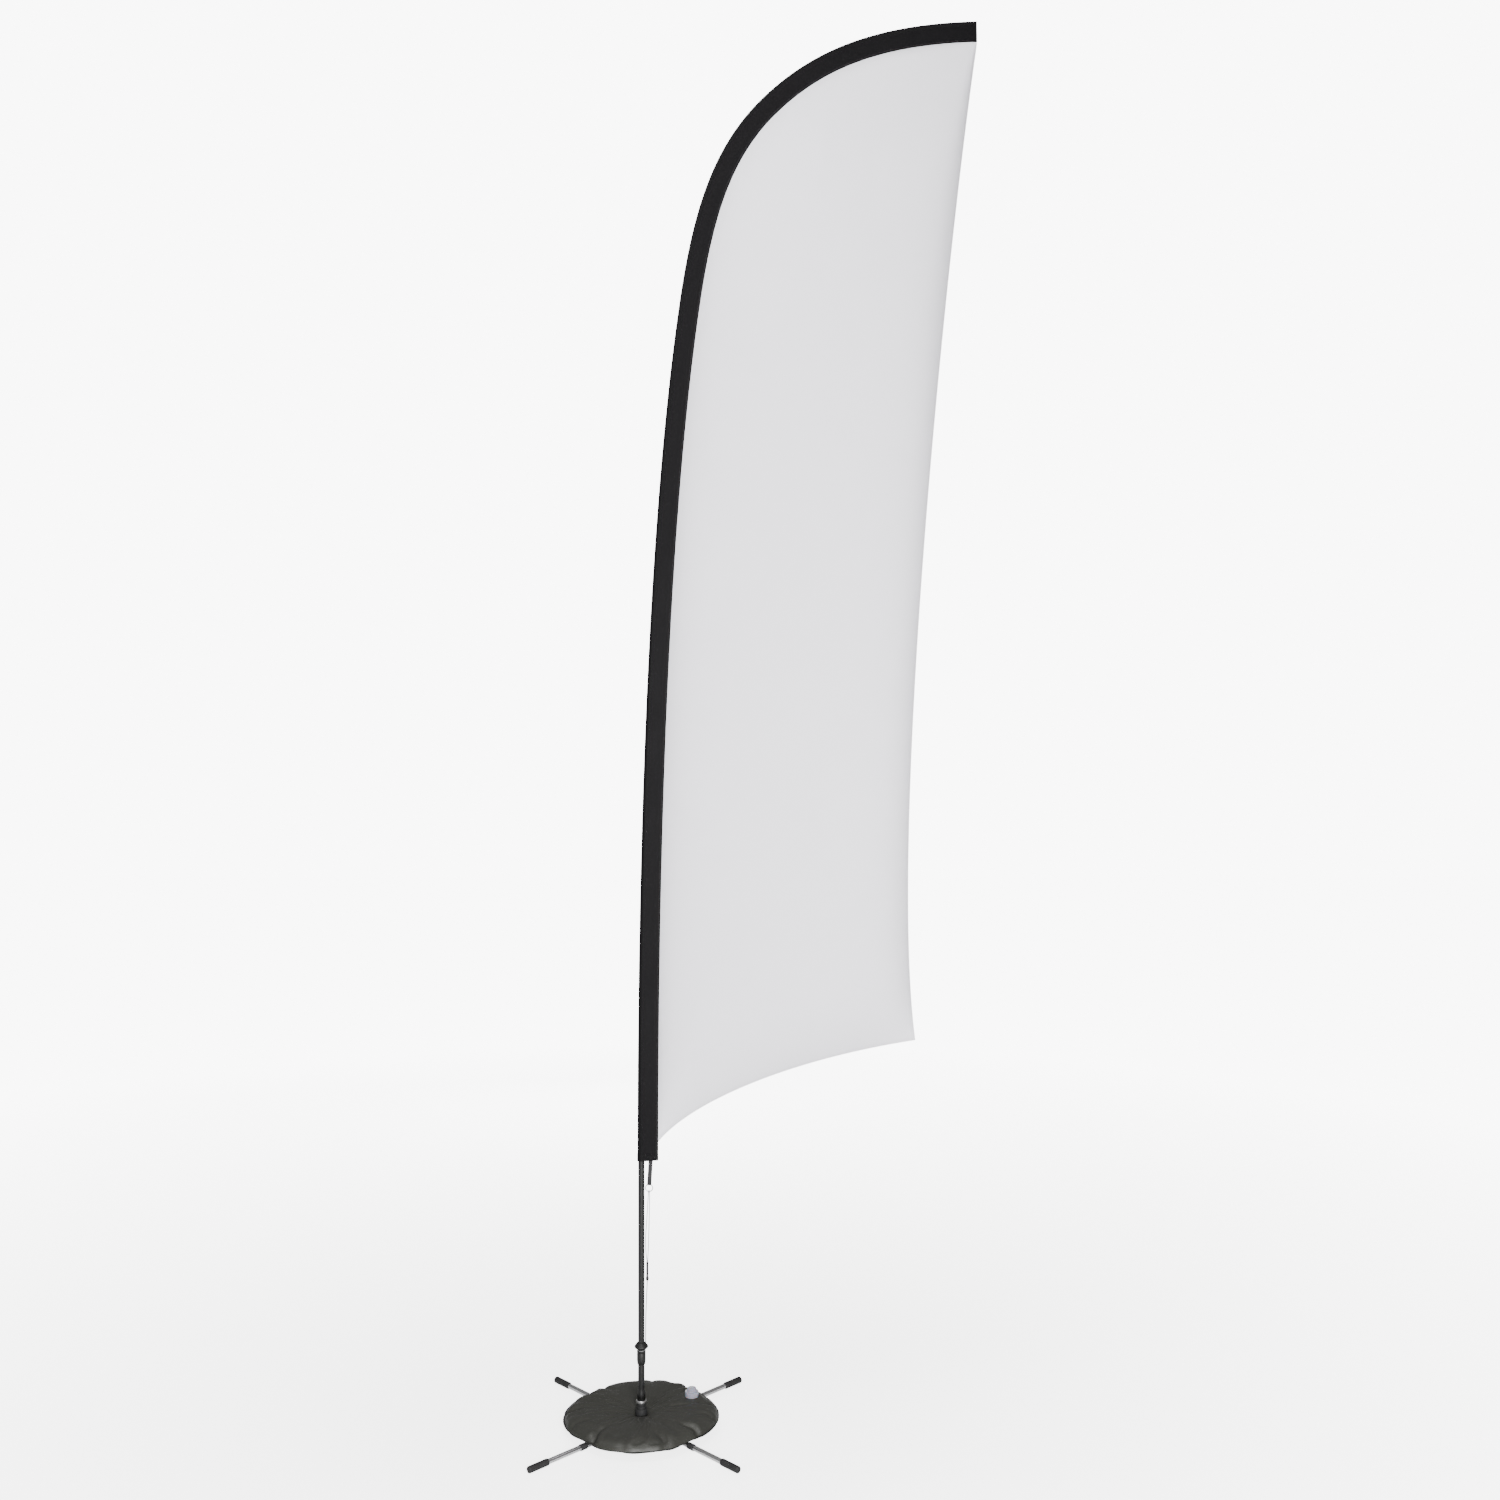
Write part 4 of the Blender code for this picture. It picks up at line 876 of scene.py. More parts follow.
def sleeve_place(u, v):
    length = v * EDGE.total
    inward = inward_at(length)
    radius = pole_radius(length) + SLEEVE_EASE + SLEEVE_WALL
    kind, share = sleeve_section(u)
    bend = 1.0 - max(0.0, EDGE.slope(max(length - 0.2, 0.0)).dot(EDGE.slope(min(length + 0.2, EDGE.total))))
    gather = 0.0005 + 0.010 * bend + 0.0008 * math.exp(-length / 0.06)
    wander = noise.noise(Vector((length * 14.0, u * 3.0, 2.0)))
    crease = 0.0007 * noise.noise(Vector((length * 5.0, u * 24.0, 9.0)))
    if kind == "arc":
        angle = SLEEVE_ARC + (2 * math.pi - 2 * SLEEVE_ARC) * share
        swell = radius + 0.0004 + 0.4 * abs(crease)
        along = radius + swell * math.cos(angle)
        out = swell * math.sin(angle)
    else:
        start = radius + radius * math.cos(SLEEVE_ARC)
        high = radius * math.sin(SLEEVE_ARC) + 0.0004
        along = SLEEVE_WIDTH + (start - SLEEVE_WIDTH) * share
        flat = SLEEVE_SEAM + (high - SLEEVE_SEAM) * share ** 1.15
        ripple = gather * math.sin(math.pi * min(share * 1.05, 1.0)) * math.sin(length * 210.0 + 9.0 * wander)
        out = flat + 0.6 * abs(ripple) + 1.4 * abs(crease) * math.sin(math.pi * share)
        out = out if kind == "upper" else -out
    place = EDGE.at(length) + inward * along
    return Vector((place.x, out, place.y))


sleeve = stretched_grid("pole_sleeve", 40, SLEEVE_ROWS, sleeve_place, (0.15, EDGE.total))
wall = sleeve.modifiers.new("Solidify", "SOLIDIFY")
wall.thickness = 0.0007
wall.offset = -1.0
apply_modifiers(sleeve)
smooth_by_angle(sleeve, 60)
settle(sleeve, "mast", "black_cloth", SLEEVE_CLOTH, "flag_sleeve")


# the fold round the seam: how far in from the sleeve's edge, and how far out of its plane
SEAM_ROUND = (
    (0.009, 0.0022), (0.004, 0.0026), (-0.001, 0.0022), (-0.0018, 0.0), (-0.001, -0.0022),
    (0.004, -0.0026), (0.009, -0.0022), (0.009, 0.0022),
)


def seam_place(inside, lift):
    def place(length):
        spot = EDGE.at(length) + inward_at(length) * (SLEEVE_WIDTH - inside)
        return Vector((spot.x, -SLEEVE_SEAM - lift, spot.y))
    return place


def seam_tape_place(u, v):
    """The folded edge of the sleeve where the panel enters it."""
    inside, lift = SEAM_ROUND[round(u * (len(SEAM_ROUND) - 1))]
    length = v * EDGE.total
    spot = EDGE.at(length) + inward_at(length) * (SLEEVE_WIDTH - inside)
    return Vector((spot.x, lift, spot.y))


seam_tape = stretched_grid("sleeve_seam", len(SEAM_ROUND) - 1, SLEEVE_ROWS, seam_tape_place,
                           (0.03, EDGE.total), closed=True, capped=True)
smooth_by_angle(seam_tape, 60)
settle(seam_tape, "mast", "black_cloth", SLEEVE_CLOTH)
seam_stitches = make_stitches("seam_stitches", seam_place(0.004, 0.0015), EDGE.total * 0.995,
                              "mast", "black_cloth", THREAD)


def hem_band_place(u, v):
    """The sleeve's hem, turned up and sewn at its lower end."""
    place = sleeve_place(u, v * 0.022 / EDGE.total)
    centre = EDGE.at(0.0) + inward_at(0.0) * 0.028
    across = Vector((place.x - centre.x, place.y * 2.0, 0.0)).normalized()
    return place + across * 0.0006 + Vector((0.0, 0.0, -0.0006))


hem_band = stretched_grid("sleeve_hem", 40, 10, hem_band_place, (0.15, 0.022))
wall = hem_band.modifiers.new("Solidify", "SOLIDIFY")
wall.thickness = 0.0010
wall.offset = 0.0
apply_modifiers(hem_band)
smooth_by_angle(hem_band, 60)
settle(hem_band, "mast", "black_cloth", SLEEVE_CLOTH)

# %% [markdown]
# The cut size of the cloth is its outline in the flag's plane, before it bellies out.

# %% Cut size of the panel
steps = [step / 200 for step in range(201)]
outline = [panel_flat(0.0, v) for v in steps] + [panel_flat(u, 1.0) for u in steps]
outline += [panel_flat(1.0, v) for v in reversed(steps)] + [panel_flat(u, 0.0) for u in reversed(steps)]

# %% [markdown]
# ## The water bag
# The real bag is two discs of coated cloth welded along their rims, and the water that fills it
# makes them swell. So it is made the same way here: two flat ring-shaped sheets joined at both
# edges and swollen by a pressure from inside, which leaves the small radial puckers that a flat
# disc always gets when its rim is pulled in. The swollen form is then set to its real height, flat
# below where it lies on the legs, with the pinch folds that show near the rim.

# %% Bag, blown up from flat
BAG_HOLE = 0.0180
BAG_FLAT_RADIUS = 0.250    # of the two discs before they swell
BAG_PRESSURE = 6.0
BAG_RIM = 0.2430
BAG_RIM_HEIGHT = 0.0300
BAG_CROWN = 0.0578
BAG_FLOOR = 0.0190
VALVE_PLACE = Vector((0.157, 0.075))
VALVE_PAD_TOP = 0.0588
VALVE_PAD_RADIUS = 0.024
# direction of each pinch fold in degrees, and its depth
PINCHES = (
    (233, 0.0105), (291, 0.0080), (322, 0.0105), (262, 0.0030), (207, 0.0050), (178, 0.0060),
    (146, 0.0045), (128, 0.0080), (84, 0.0045), (54, 0.0070), (348, 0.0060), (12, 0.0045),
)


def flat_bag():
    rings = 24
    top = [(BAG_HOLE + (BAG_FLAT_RADIUS - BAG_HOLE) * step / rings, 0.0025 * (1.0 - step / rings) + 0.0002)
           for step in range(rings + 1)]
    bottom = [(radius, -height) for radius, height in top[::-1]]
    return turned("water_bag_skin", top + bottom, sides=160, bevel=0.0)


def blow_up(piece, frames):
    """Let an inner pressure swell the cloth, and keep its last shape."""
    for vertex in piece.data.vertices:
        vertex.co.z += 0.0006 * noise.noise(vertex.co * 40.0)
    cloth = piece.modifiers.new("Cloth", "CLOTH")
    cloth.settings.quality = 5
    cloth.settings.mass = 0.25
    cloth.settings.tension_stiffness = 30.0
    cloth.settings.compression_stiffness = 30.0
    cloth.settings.shear_stiffness = 12.0
    cloth.settings.bending_stiffness = 0.4
    cloth.settings.use_pressure = True
    cloth.settings.uniform_pressure_force = BAG_PRESSURE
    cloth.settings.effector_weights.gravity = 0.0
    cloth.collision_settings.use_collision = False
    cloth.collision_settings.use_self_collision = False
    scene = bpy.context.scene
    for frame_number in range(1, frames + 1):
        scene.frame_set(frame_number)
    shape = piece.evaluated_get(bpy.context.evaluated_depsgraph_get())
    blown = [vertex.co.copy() for vertex in shape.data.vertices]
    piece.modifiers.remove(cloth)
    scene.frame_set(1)
    for vertex, place in zip(piece.data.vertices, blown):
        vertex.co = place


def smooth_step(value):
    value = min(max(value, 0.0), 1.0)
    return value * value * (3.0 - 2.0 * value)


def angle_from(angle, degrees):
    """The angle from a direction given in degrees, between half a turn each way."""
    apart = angle - math.radians(degrees)
    return math.atan2(math.sin(apart), math.cos(apart))


def pinch_depth(angle, radius):
    depth = 0.0
    for degrees, strength in PINCHES:
        away = angle_from(angle, degrees)
        wander = 0.03 * math.sin(radius * 70.0 + degrees)
        away = (away + wander) * radius
        ridge = 0.35 * math.exp(-((away - 0.020) / 0.012) ** 2)
        depth += strength * (math.exp(-(away / 0.0085) ** 2) - ridge)
    return depth * smooth_step((radius - 0.125) / 0.095)


def pulled_in(angle, radius):
    """How far the straps round the legs draw the rim in, between its bulges."""
    pull = 0.0
    for degrees in (45, 135, 225, 315):
        away = angle_from(angle, degrees)
        pull += 0.0110 * math.exp(-(away / 0.24) ** 2)
    return pull * smooth_step((radius - 0.120) / 0.120)


def ring_means(values, keys):
    groups = {}
    for value, key in zip(values, keys):
        groups.setdefault(key, []).append(value)
    return {key: sum(group) / len(group) for key, group in groups.items()}


def limited(value, limit):
    return max(-limit, min(limit, value))


def seat_bag(piece, flat_spots):
    """Give the blown shape its real height, rim and pad, and lay its underside flat.

    Each ring of points takes its mean place, and keeps only a few millimetres of its own wrinkles.
    """
    spots = [vertex.co.copy() for vertex in piece.data.vertices]
    drift = sum(spots, Vector()) / len(spots)
    spots = [spot - drift for spot in spots]
    keys = [(round(flat.xy.length * 2000), flat.z > 0.0) for flat in flat_spots]
    radii = ring_means([spot.xy.length for spot in spots], keys)
    heights = ring_means([spot.z for spot in spots], keys)
    low, high = min(radii.values()), max(radii.values())
    rim_height = sum(heights[key] for key in keys if key[0] == max(keys)[0]) / sum(
        1 for key in keys if key[0] == max(keys)[0])
    peak = max(heights.values()) - rim_height
    depth = rim_height - min(heights.values())
    print("blown bag: radius", round(low, 4), round(high, 4), "height", round(peak, 4), round(depth, 4))
    for vertex, spot, flat, key in zip(piece.data.vertices, spots, flat_spots, keys):
        angle = math.atan2(flat.y, flat.x)
        own = limited(spot.xy.length - radii[key], 0.0030)
        reach = BAG_HOLE + (radii[key] - low) * (BAG_RIM - BAG_HOLE) / (high - low)
        reach += own * smooth_step((reach - BAG_HOLE) / 0.05) * 0.6
        wrinkle = limited(spot.z - heights[key], 0.0035)
        rise = heights[key] - rim_height
        if rise >= 0.0 or key[1]:
            height = BAG_RIM_HEIGHT + (BAG_CROWN - BAG_RIM_HEIGHT) * (max(rise, 0.0) / peak) ** 0.6
            inner = smooth_step((height - BAG_RIM_HEIGHT) / 0.010)
            height += (wrinkle * 0.7 - pinch_depth(angle, reach)) * inner
            height += 0.0014 * noise.noise(Vector((flat.x * 9.0, flat.y * 9.0, 3.0))) - 0.0010
            away = (Vector((reach * math.cos(angle), reach * math.sin(angle))) - VALVE_PLACE).length
            pad = 1.0 - smooth_step((away - VALVE_PAD_RADIUS) / 0.026)
            height += (VALVE_PAD_TOP - height) * pad
            height = min(height, BAG_CROWN + 0.0010)
        else:
            height = BAG_RIM_HEIGHT - (BAG_RIM_HEIGHT - BAG_FLOOR) * (-rise / depth) * 1.35
            height = max(height, BAG_FLOOR)
        reach -= 0.25 * max(pinch_depth(angle, reach), 0.0) + pulled_in(angle, reach)
        vertex.co = (reach * math.cos(angle), reach * math.sin(angle), height)


bag = flat_bag()
flat_places = [vertex.co.copy() for vertex in bag.data.vertices]
blow_up(bag, 24)
seat_bag(bag, flat_places)
bag.modifiers.new("Subdivision", "SUBSURF").levels = 1
bag.modifiers["Subdivision"].render_levels = 1
apply_modifiers(bag)
smooth_by_angle(bag, 75)
settle(bag, "base", "olive_cloth", BAG_CLOTH, "water_bag")


# the rim's section: how far in from its edge, and its height
RIM_ROUND = ((0.011, 0.0008), (0.005, 0.0009), (0.0006, 0.0007), (0.0, 0.0), (0.0006, -0.0007),
             (0.005, -0.0009), (0.011, -0.0008), (0.011, 0.0008))
RIM_RADIUS = 0.2470


def rim_place(u, v):
    """The welded rim: a flat band that stands out of the bag and waves up and down a little."""
    inside, lift = RIM_ROUND[round(u * (len(RIM_ROUND) - 1))]
    angle = 2 * math.pi * v
    wander = noise.noise(Vector((math.cos(angle) * 6, math.sin(angle) * 6, 1.0)))
    wave = 0.0012 * math.sin(angle * 13.0) + 0.0013 * wander
    radius = RIM_RADIUS - inside - 0.2 * max(pinch_depth(angle, 0.236), 0.0) - pulled_in(angle, 0.240)
    outward = 1.0 - inside / 0.011
    return Vector((radius * math.cos(angle), radius * math.sin(angle),
                   BAG_RIM_HEIGHT - 0.0012 + lift + wave * (0.3 + 0.7 * outward)))


rim = stretched_grid("welded_rim", len(RIM_ROUND) - 1, 360, rim_place, (0.025, 1.55), closed=True)
smooth_by_angle(rim, 60)
settle(rim, "base", "olive_cloth", BAG_RIM_CLOTH)

# %% Grommet round the bush
grommet = turned("hole_grommet", [
    (0.0148, 0.0240), (0.0190, 0.0240), (0.0190, 0.0525), (0.0182, 0.0540), (0.0160, 0.0542),
    (0.0148, 0.0532),
], bevel=0.0003)
settle(grommet, "base", "olive_cloth", BLACK_RUBBER)

# %% [markdown]
# ## Cross base
# Four chromed tubes plug on two crossbars. Their rubber caps take the wear, so they have rounded
# ends and grip grooves. One leg is described once, laid down and turned to each direction.

# %% Legs, foot caps and strap bands
GAP = 0.0003
LEG_HEIGHT = 0.0105
LEGS = (("front_left", 225, "base"), ("rear_right", 45, "base"),
        ("front_right", 315, "swing_legs"), ("rear_left", 135, "swing_legs"))


def lay_along(piece, azimuth):
    turn = Matrix.Rotation(math.radians(azimuth), 4, "Z") @ Matrix.Rotation(math.pi / 2, 4, "Y")
    piece.matrix_world = Matrix.Translation((0.0, 0.0, LEG_HEIGHT)) @ turn
    apply_place(piece)


for leg_name, azimuth, body in LEGS:
    tube = turned(f"{leg_name}_tube", [
        (0.0068, 0.0650), (0.0080, 0.0650), (0.0080, 0.4365), (0.0068, 0.4365),
    ], sides=48, bevel=0.0002)
    lay_along(tube, azimuth)
    settle(tube, body, "chrome_tube", CHROME, f"leg_{leg_name}")
    foot = turned(f"{leg_name}_foot_cap", [
        (0.0, 0.4410), (0.0074, 0.4410), (0.0092, 0.4402), (0.0102, 0.4386), (0.0105, 0.4362),
        (0.0105, 0.4050), (0.0100, 0.4045), (0.0100, 0.4033), (0.0105, 0.4028),
        (0.0105, 0.3990), (0.0100, 0.3985), (0.0100, 0.3973), (0.0105, 0.3968),
        (0.0105, 0.3930), (0.0100, 0.3925), (0.0100, 0.3913), (0.0105, 0.3908),
        (0.0105, 0.3712), (0.0096, 0.3690), (0.0083, 0.3690), (0.0083, 0.4368), (0.0, 0.4368),
    ], sides=48, bevel=0.00025)
    lay_along(foot, azimuth)
    settle(foot, body, "black_rubber", BLACK_RUBBER, f"foot_{leg_name}")
    band = turned(f"{leg_name}_strap_band", [
        (0.0083, 0.2220), (0.0097, 0.2220), (0.0098, 0.2260), (0.0096, 0.2340), (0.0098, 0.2420),
        (0.0097, 0.2460), (0.0083, 0.2460),
    ], sides=48, bevel=0.0003)
    lay_along(band, azimuth)
    settle(band, body, "black_webbing", HARD_WEBBING, f"strap_band_{leg_name}")

# %% [markdown]
# ## Stem and spindle
# The bush lifts the stem over the bag, the bright washer spreads the load, and the stem narrows
# to a pin with two bearings. Only turned shapes are needed, with their corners broken.

# %% Bush, washer, stem, housing
bush = turned("bush", [
    (0.0063, 0.0152), (0.0145, 0.0152), (0.0145, 0.0600), (0.0141, 0.0604), (0.0141, 0.0614),
    (0.0145, 0.0618), (0.0145, 0.0717), (0.0063, 0.0717),
], bevel=0.0005)
settle(bush, "base", "black_rubber", BLACK_RUBBER, "spacer_bush")

washer = turned("clamping_washer", [
    (0.0063, 0.0720), (0.0158, 0.0720), (0.0165, 0.0727), (0.0165, 0.0795), (0.0150, 0.0810),
    (0.0063, 0.0810),
], bevel=0.0004)
settle(washer, "base", "plated_steel", STEEL, "clamp_washer")

stem_side = [(0.0132 + (0.0105 - 0.0132) * smooth_step(step / 8), 0.0950 + 0.0250 * step / 8)
             for step in range(9)]
stem = turned("stem_tube", [
    (0.0, 0.2325), (0.0055, 0.2325), (0.0055, 0.1962), (0.0068, 0.1962), (0.0068, 0.1940),
    (0.0098, 0.1940), (0.0103, 0.1935), *stem_side[::-1], (0.0132, 0.0813), (0.0063, 0.0813),
    (0.0063, 0.1503), (0.0, 0.1503),
], bevel=0.0002)
settle(stem, "base", "black_metal", BLACK_METAL, "stem")

race_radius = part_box("lower_bearing_outer_race")[1].x
nut_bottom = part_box("spindle_nut")[0].z
shoulder_bore = race_radius - 0.0016 + GAP
HOUSING_CEILING = 0.2335
housing = turned("bearing_shell", [
    (0.0069, 0.4000), (0.0079, 0.3970), (0.0079, 0.2380), (0.0132, 0.2380), (0.0140, 0.2372),
    (0.0140, 0.2310), (0.0138, 0.2306), (0.0138, 0.2300), (0.0140, 0.2296), (0.0140, 0.2075),
    (0.0137, 0.2040), (0.0123, 0.1945), (race_radius + GAP, 0.1945), (race_radius + GAP, nut_bottom),
    (shoulder_bore, nut_bottom), (shoulder_bore, HOUSING_CEILING), (0.0050, HOUSING_CEILING),
    (0.0050, 0.4000),
], bevel=0.0002)
settle(housing, "rotor", "black_plastic", BLACK_PLASTIC, "bearing_housing")

seat_washer = turned("seat_washer", [
    (0.0082, 0.2383), (0.0125, 0.2383), (0.0125, 0.2393), (0.0082, 0.2393),
], bevel=0.0002)
settle(seat_washer, "rotor", "grey_nylon", GREY_NYLON, "rest_washer")

# %% [markdown]
# ## Foot of the pole
# The collar's pointed rim is where the hand lifts the mast off. Its small hole holds the lower
# end of the tension cord, and it is drilled after the collar is turned.

# %% Collar and pole
collar = turned("lifting_collar", [
    (0.0103, 0.2631), (0.0125, 0.2631), (0.0155, 0.2601), (0.0180, 0.2566), (0.0205, 0.2534),
    (0.0214, 0.2521), (0.0216, 0.2512), (0.0216, 0.2490), (0.0212, 0.2478), (0.0190, 0.2458),
    (0.0160, 0.2438), (0.0145, 0.2426), (0.0137, 0.2410), (0.0135, 0.2396), (0.0103, 0.2396),
], bevel=0.0002)
deselect_all()
bpy.ops.mesh.primitive_cylinder_add(vertices=24, radius=0.0016, depth=0.020, location=(0.0138, 0.0, 0.2631))
drill = bpy.context.object
hole = collar.modifiers.new("Hole", "BOOLEAN")
hole.operation = "DIFFERENCE"
hole.object = drill
apply_modifiers(collar)
bpy.data.objects.remove(drill, do_unlink=True)
smooth_by_angle(collar)
settle(collar, "mast", "black_plastic", BLACK_PLASTIC, "pole_collar")


def pole_centre(length):
    """The middle of the pole at a length from its foot."""
    beside = length - (HEM_HEIGHT - POLE_BOTTOM)
    if beside <= 0.0:
        return Vector((0.0, 0.0, POLE_BOTTOM + length))
    spot = EDGE.at(beside) + inward_at(beside) * (pole_radius(beside) + SLEEVE_EASE + SLEEVE_WALL)
    return Vector((spot.x, 0.0, spot.y))


SECTION_END = POLE_STRAIGHT - GAP
pole_route = [pole_centre(SECTION_END * step / 70) for step in range(71)]
lower_pole = swept_tube("lower_pole_section", pole_route, lambda length, angle: POLE_RADIUS,
                        sides=48, capped=False)
wall = lower_pole.modifiers.new("Solidify", "SOLIDIFY")
wall.thickness = 0.0018
wall.offset = -1.0
apply_modifiers(lower_pole)
smooth_by_angle(lower_pole)
settle(lower_pole, "mast", "black_metal", BLACK_METAL, "pole_section_1")

# %% [markdown]
# ## Ring, webbing strap and cord crimp
# The strap is one length of webbing passed round the ring and sewn to itself inside the hem. Its
# two layers part only where they go round the wire.

# %% Ring and strap
RING_CENTRE = Vector((0.0245, 0.0, 0.7526))
RING_RADIUS = 0.0115
RING_WIRE = 0.0015
STRAP_WIDTH = 0.0136
STRAP_LAYER = 0.0012
STRAP_REACH = 0.108
STRAP_LEAN = math.radians(3.4)

deselect_all()
bpy.ops.mesh.primitive_torus_add(
    major_radius=RING_RADIUS, minor_radius=RING_WIRE, major_segments=72, minor_segments=16,
    location=RING_CENTRE, rotation=(math.pi / 2, 0.0, 0.0), generate_uvs=False)
wire_ring = bpy.context.object
wire_ring.name = "wire_ring"
apply_place(wire_ring)
smooth_by_angle(wire_ring)
settle(wire_ring, "mast", "plated_steel", STEEL, "strap_ring")

loop_radius = RING_WIRE + GAP + STRAP_LAYER / 2
strap_line = [Vector((-0.0007, STRAP_REACH)), Vector((-0.0007, 0.060)), Vector((-0.0008, 0.032)),
              Vector((-0.0012, 0.026)), Vector((-0.0021, 0.018))]
for step in range(17):
    angle = math.pi + math.pi * step / 16
    strap_line.append(Vector((loop_radius * math.cos(angle), RING_RADIUS + loop_radius * math.sin(angle))))
strap_line += [Vector((-point.x, point.y)) for point in strap_line[4::-1]]
STRAP_SECTION = ((-0.5, 0.0), (-0.44, 0.42), (-0.15, 0.5), (0.15, 0.5), (0.44, 0.42), (0.5, 0.0),
                 (0.44, -0.42), (0.15, -0.5), (-0.15, -0.5), (-0.44, -0.42), (-0.5, 0.0))


def strap_place(u, v):
    index = round(v * (len(strap_line) - 1))
    across, thick = STRAP_SECTION[round(u * (len(STRAP_SECTION) - 1))]
    after = strap_line[min(index + 1, len(strap_line) - 1)]
    before = strap_line[max(index - 1, 0)]
    way = (after - before).normalized()
    out = Vector((way.y, -way.x)) * (thick * STRAP_LAYER)
    local = Vector((across * STRAP_WIDTH, strap_line[index].x + out.x, strap_line[index].y + out.y))
    return RING_CENTRE + Matrix.Rotation(STRAP_LEAN, 3, "Y") @ local


strap = stretched_grid("webbing_strap", len(STRAP_SECTION) - 1, len(strap_line) - 1, strap_place,
                       (0.03, 0.22), closed=True, capped=True)
smooth_by_angle(strap, 50)
settle(strap, "mast", "black_webbing", WEBBING, "flag_strap")


def bartack_place(length):
    """A zigzag of thread across the strap, just above the ring."""
    across = abs((length / 0.010) % 2.0 - 1.0) * 0.010 - 0.005
    local = Vector((across, -0.0016, 0.036 + length * 0.06))
    return RING_CENTRE + Matrix.Rotation(STRAP_LEAN, 3, "Y") @ local


bartack = make_stitches("strap_bartack", bartack_place, 0.10, "mast", "black_webbing", THREAD, pitch=0.0025)

# %% Loops of the cord round the ring
for number, across in enumerate((-0.0016, 0.0016), 1):
    deselect_all()
    bpy.ops.mesh.primitive_torus_add(
        major_radius=RING_WIRE + CORD_RADIUS + 0.0002, minor_radius=CORD_RADIUS, major_segments=32,
        minor_segments=12, location=RING_CENTRE + Vector((across, 0.0, -RING_RADIUS)),
        rotation=(0.0, math.pi / 2, 0.0), generate_uvs=True)
    loop = bpy.context.object
    loop.name = f"ring_loop_{number}"
    loop.data.uv_layers[0].name = "cloth_uv"
    apply_place(loop)
    smooth_by_angle(loop)
    settle(loop, "mast", "grey_cord", GREY_BRAID)

# %% Crimp and knot
CRIMP_TOP = Vector((0.0190, 0.0, 0.5176))
crimp = turned("crimp", [
    (0.0, 0.0), (0.0026, 0.0), (0.0033, -0.0008), (0.0034, -0.0020), (0.0034, -0.0130),
    (0.0031, -0.0138), (0.0031, -0.0150), (0.0034, -0.0158), (0.0034, -0.0300),
    (0.0031, -0.0308), (0.0031, -0.0320), (0.0034, -0.0328), (0.0034, -0.0450),
    (0.0040, -0.0475), (0.0047, -0.0495), (0.0048, -0.0520), (0.0047, -0.0545), (0.0041, -0.0568),
    (0.0032, -0.0584), (0.0016, -0.0590), (0.0, -0.0590),
], sides=32, bevel=0.00015)
crimp.location = CRIMP_TOP
apply_place(crimp)
settle(crimp, "mast", "black_plastic", BLACK_PLASTIC, "cord_crimp")

# %% [markdown]
# ## Filler neck and cap
# The cap is two tiers of milky plastic. Wet hands turn it, so both tiers have ribs, which are
# drawn out of the smooth lathe shape by easing every few columns of points inwards.

# %% Valve
neck = turned("filler_neck", [
    (0.0100, 0.0713), (0.0130, 0.0713), (0.0130, 0.0700), (0.0126, 0.0695), (0.0126, 0.0690),
    (0.0130, 0.0685), (0.0130, 0.0660), (0.0126, 0.0655), (0.0126, 0.0650), (0.0130, 0.0645),
    (0.0130, 0.0623), (0.0215, 0.0623), (0.0215, 0.0593), (0.0100, 0.0593),
], bevel=0.0002)
neck.location = (VALVE_PLACE.x, VALVE_PLACE.y, 0.0)
apply_place(neck)
settle(neck, "base", "milky_plastic", MILKY, "valve_neck")

# each ribbed wall of the cap: its radius, bottom, top, number of ribs and their depth
CAP_WALLS = ((0.0218, 0.0636, 0.0740, 45, 0.0004), (0.0145, 0.0766, 0.0838, 30, 0.0004))
cap = turned("filler_cap", [
    (0.0, 0.0863), (0.0110, 0.0863), (0.0132, 0.0860), (0.0142, 0.0852), (0.0145, 0.0840),
    (0.0145, 0.0762), (0.0148, 0.0757), (0.0200, 0.0755), (0.0212, 0.0751), (0.0218, 0.0742),
    (0.0218, 0.0634), (0.0214, 0.0626), (0.0155, 0.0626), (0.0155, 0.0731), (0.0, 0.0731),
], sides=180, bevel=0.0002)
for vertex in cap.data.vertices:
    radius = vertex.co.xy.length
    angle = math.atan2(vertex.co.y, vertex.co.x)
    for wall_radius, low, high, ribs, depth in CAP_WALLS:
        on_wall = wall_radius - 0.0003 < radius < wall_radius + 0.0001
        if on_wall and low - 0.0004 < vertex.co.z < high + 0.0004:
            ease = 1.0 - depth / wall_radius * (0.5 + 0.5 * math.cos(ribs * angle))
            vertex.co.x *= ease
            vertex.co.y *= ease
cap.location = (VALVE_PLACE.x, VALVE_PLACE.y, 0.0)
apply_place(cap)
smooth_by_angle(cap, 30)
settle(cap, "cap", "milky_plastic", MILKY, "valve_cap")

# %% [markdown]
# ## Hidden pieces
# What stays inside, such as bearings, crossbars and the upper pole, keeps its plain shape, and
# gets the same finishes as the pieces that show.

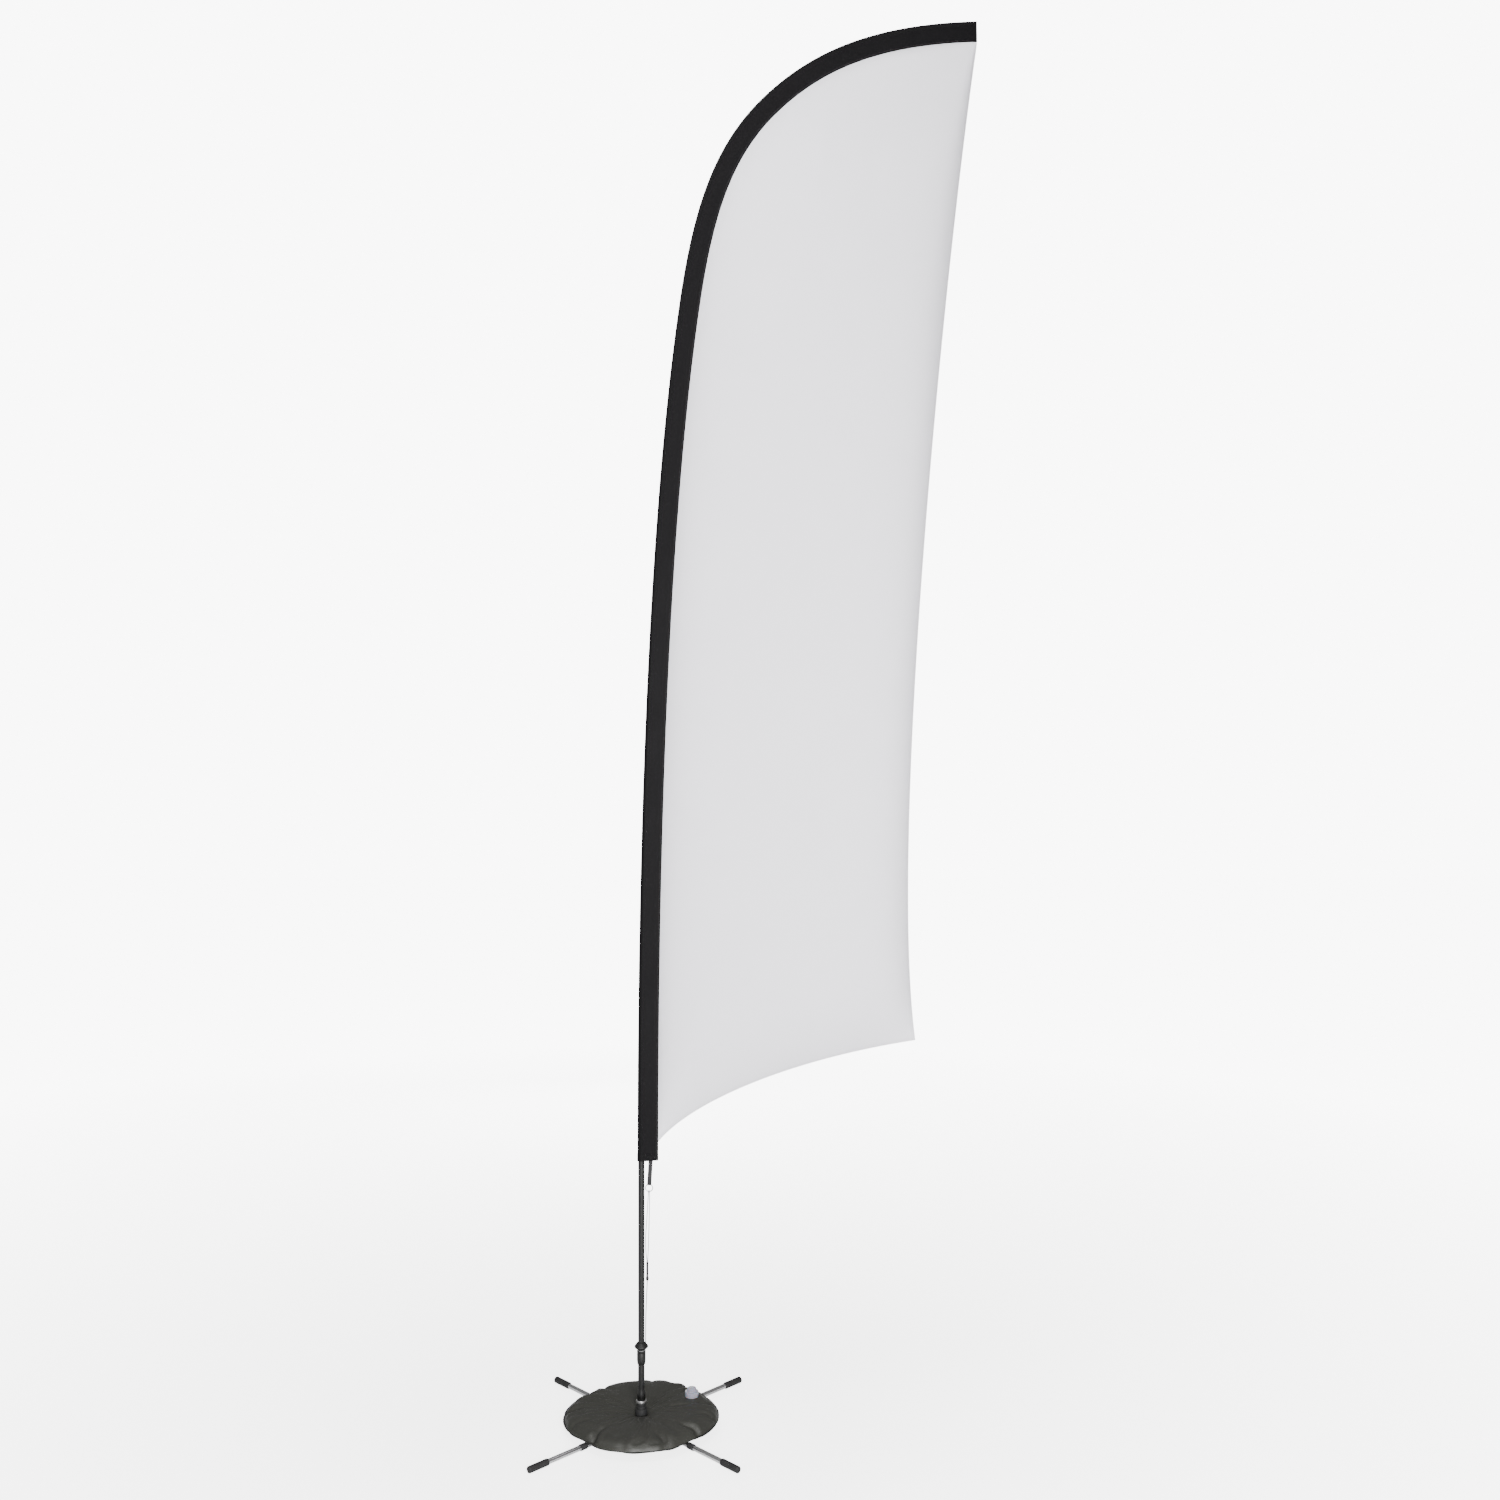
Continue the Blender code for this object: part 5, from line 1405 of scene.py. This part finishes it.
# %% Finishes for the pieces that are kept
KEPT = {
    "hub_bolt": STEEL, "fold_washer": GREY_NYLON, "lower_crossbar": BLACK_METAL,
    "upper_crossbar": BLACK_METAL, "lower_bearing_inner_race": STEEL, "upper_bearing_inner_race": STEEL,
    "lower_bearing_outer_race": STEEL, "upper_bearing_outer_race": STEEL,
    "lower_bearing_ball_ring": STEEL, "upper_bearing_ball_ring": STEEL, "inner_spacer": STEEL,
    "outer_spacer": STEEL, "spindle_nut": STEEL, "bearing_circlip": STEEL,
    "pole_section_2": BLACK_METAL, "pole_section_3": BLACK_FIBREGLASS,
    "pole_section_4": BLACK_FIBREGLASS, "tip_cap": BLACK_RUBBER, "valve_seal": BLACK_RUBBER,
}
for node_name, finish in KEPT.items():
    for material_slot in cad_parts[node_name].material_slots:
        material_slot.material = finish
print("kept:", len(KEPT), "pieces")

# %% Stage: the floor, its finish, the lamps and the world
deselect_all()
bpy.ops.mesh.primitive_plane_add(size=40.0, location=(0.0, 0.0, 0.0))
floor = bpy.context.object
floor.name = "floor"
floor_finish = bpy.data.materials.new("floor_white")
floor_finish.use_nodes = True
floor_shader = floor_finish.node_tree.nodes["Principled BSDF"]
floor_shader.inputs["Base Color"].default_value = (0.93, 0.93, 0.93, 1.0)
floor_shader.inputs["Roughness"].default_value = 0.9
floor_shader.inputs["Specular IOR Level"].default_value = 0.1
floor_shader.inputs["Emission Color"].default_value = (1.0, 1.0, 1.0, 1.0)
floor_tree = floor_finish.node_tree
floor_place = floor_tree.nodes.new("ShaderNodeTexCoord")
floor_reach = floor_tree.nodes.new("ShaderNodeVectorMath")
floor_reach.operation = "LENGTH"
floor_tree.links.new(floor_place.outputs["Object"], floor_reach.inputs[0])
floor_fade = floor_tree.nodes.new("ShaderNodeMapRange")
floor_fade.inputs["From Min"].default_value = 0.6
floor_fade.inputs["From Max"].default_value = 6.0
floor_fade.inputs["To Min"].default_value = 3.4
floor_fade.inputs["To Max"].default_value = 8.6
floor_tree.links.new(floor_reach.outputs["Value"], floor_fade.inputs["Value"])
floor_seen = floor_tree.nodes.new("ShaderNodeLightPath")
floor_glow = math_node(floor_tree, "MULTIPLY", floor_fade.outputs[0], floor_seen.outputs["Is Camera Ray"])
floor_tree.links.new(floor_glow, floor_shader.inputs["Emission Strength"])
floor.data.materials.append(floor_finish)


def area_light(name, place, target, size, power, tint=(1.0, 1.0, 1.0)):
    data = bpy.data.lights.new(name, "AREA")
    data.shape = "RECTANGLE"
    data.size = size[0]
    data.size_y = size[1]
    data.energy = power
    data.color = tint
    lamp = bpy.data.objects.new(name, data)
    lamp.location = place
    lamp.rotation_euler = (Vector(target) - Vector(place)).to_track_quat("-Z", "Y").to_euler()
    lamp.visible_camera = False
    bpy.context.scene.collection.objects.link(lamp)
    return lamp


area_light("key", (1.1, -4.7, 2.0), (0.45, 0.0, 1.8), (1.2, 2.0), 520.0)
area_light("fill", (-2.4, -4.2, 2.2), (0.4, 0.0, 1.7), (1.2, 2.4), 60.0)
area_light("top", (-0.6, -1.4, 5.2), (0.0, 0.0, 0.0), (1.6, 1.6), 110.0)
# the back light only lifts the shaded side, without shining on the bag
back = area_light("back", (-0.6, 4.8, 2.2), (0.45, 0.0, 1.9), (1.6, 2.4), 150.0)
back.visible_glossy = False

world = bpy.data.worlds.new("studio")
bpy.context.scene.world = world
world.use_nodes = True
sky = world.node_tree
background = sky.nodes["Background"]
background.inputs["Color"].default_value = (1.0, 1.0, 1.0, 1.0)
seen = sky.nodes.new("ShaderNodeLightPath")
level = sky.nodes.new("ShaderNodeMapRange")
level.inputs["To Min"].default_value = 0.32
level.inputs["To Max"].default_value = 9.0
sky.links.new(seen.outputs["Is Camera Ray"], level.inputs["Value"])
sky.links.new(level.outputs[0], background.inputs["Strength"])
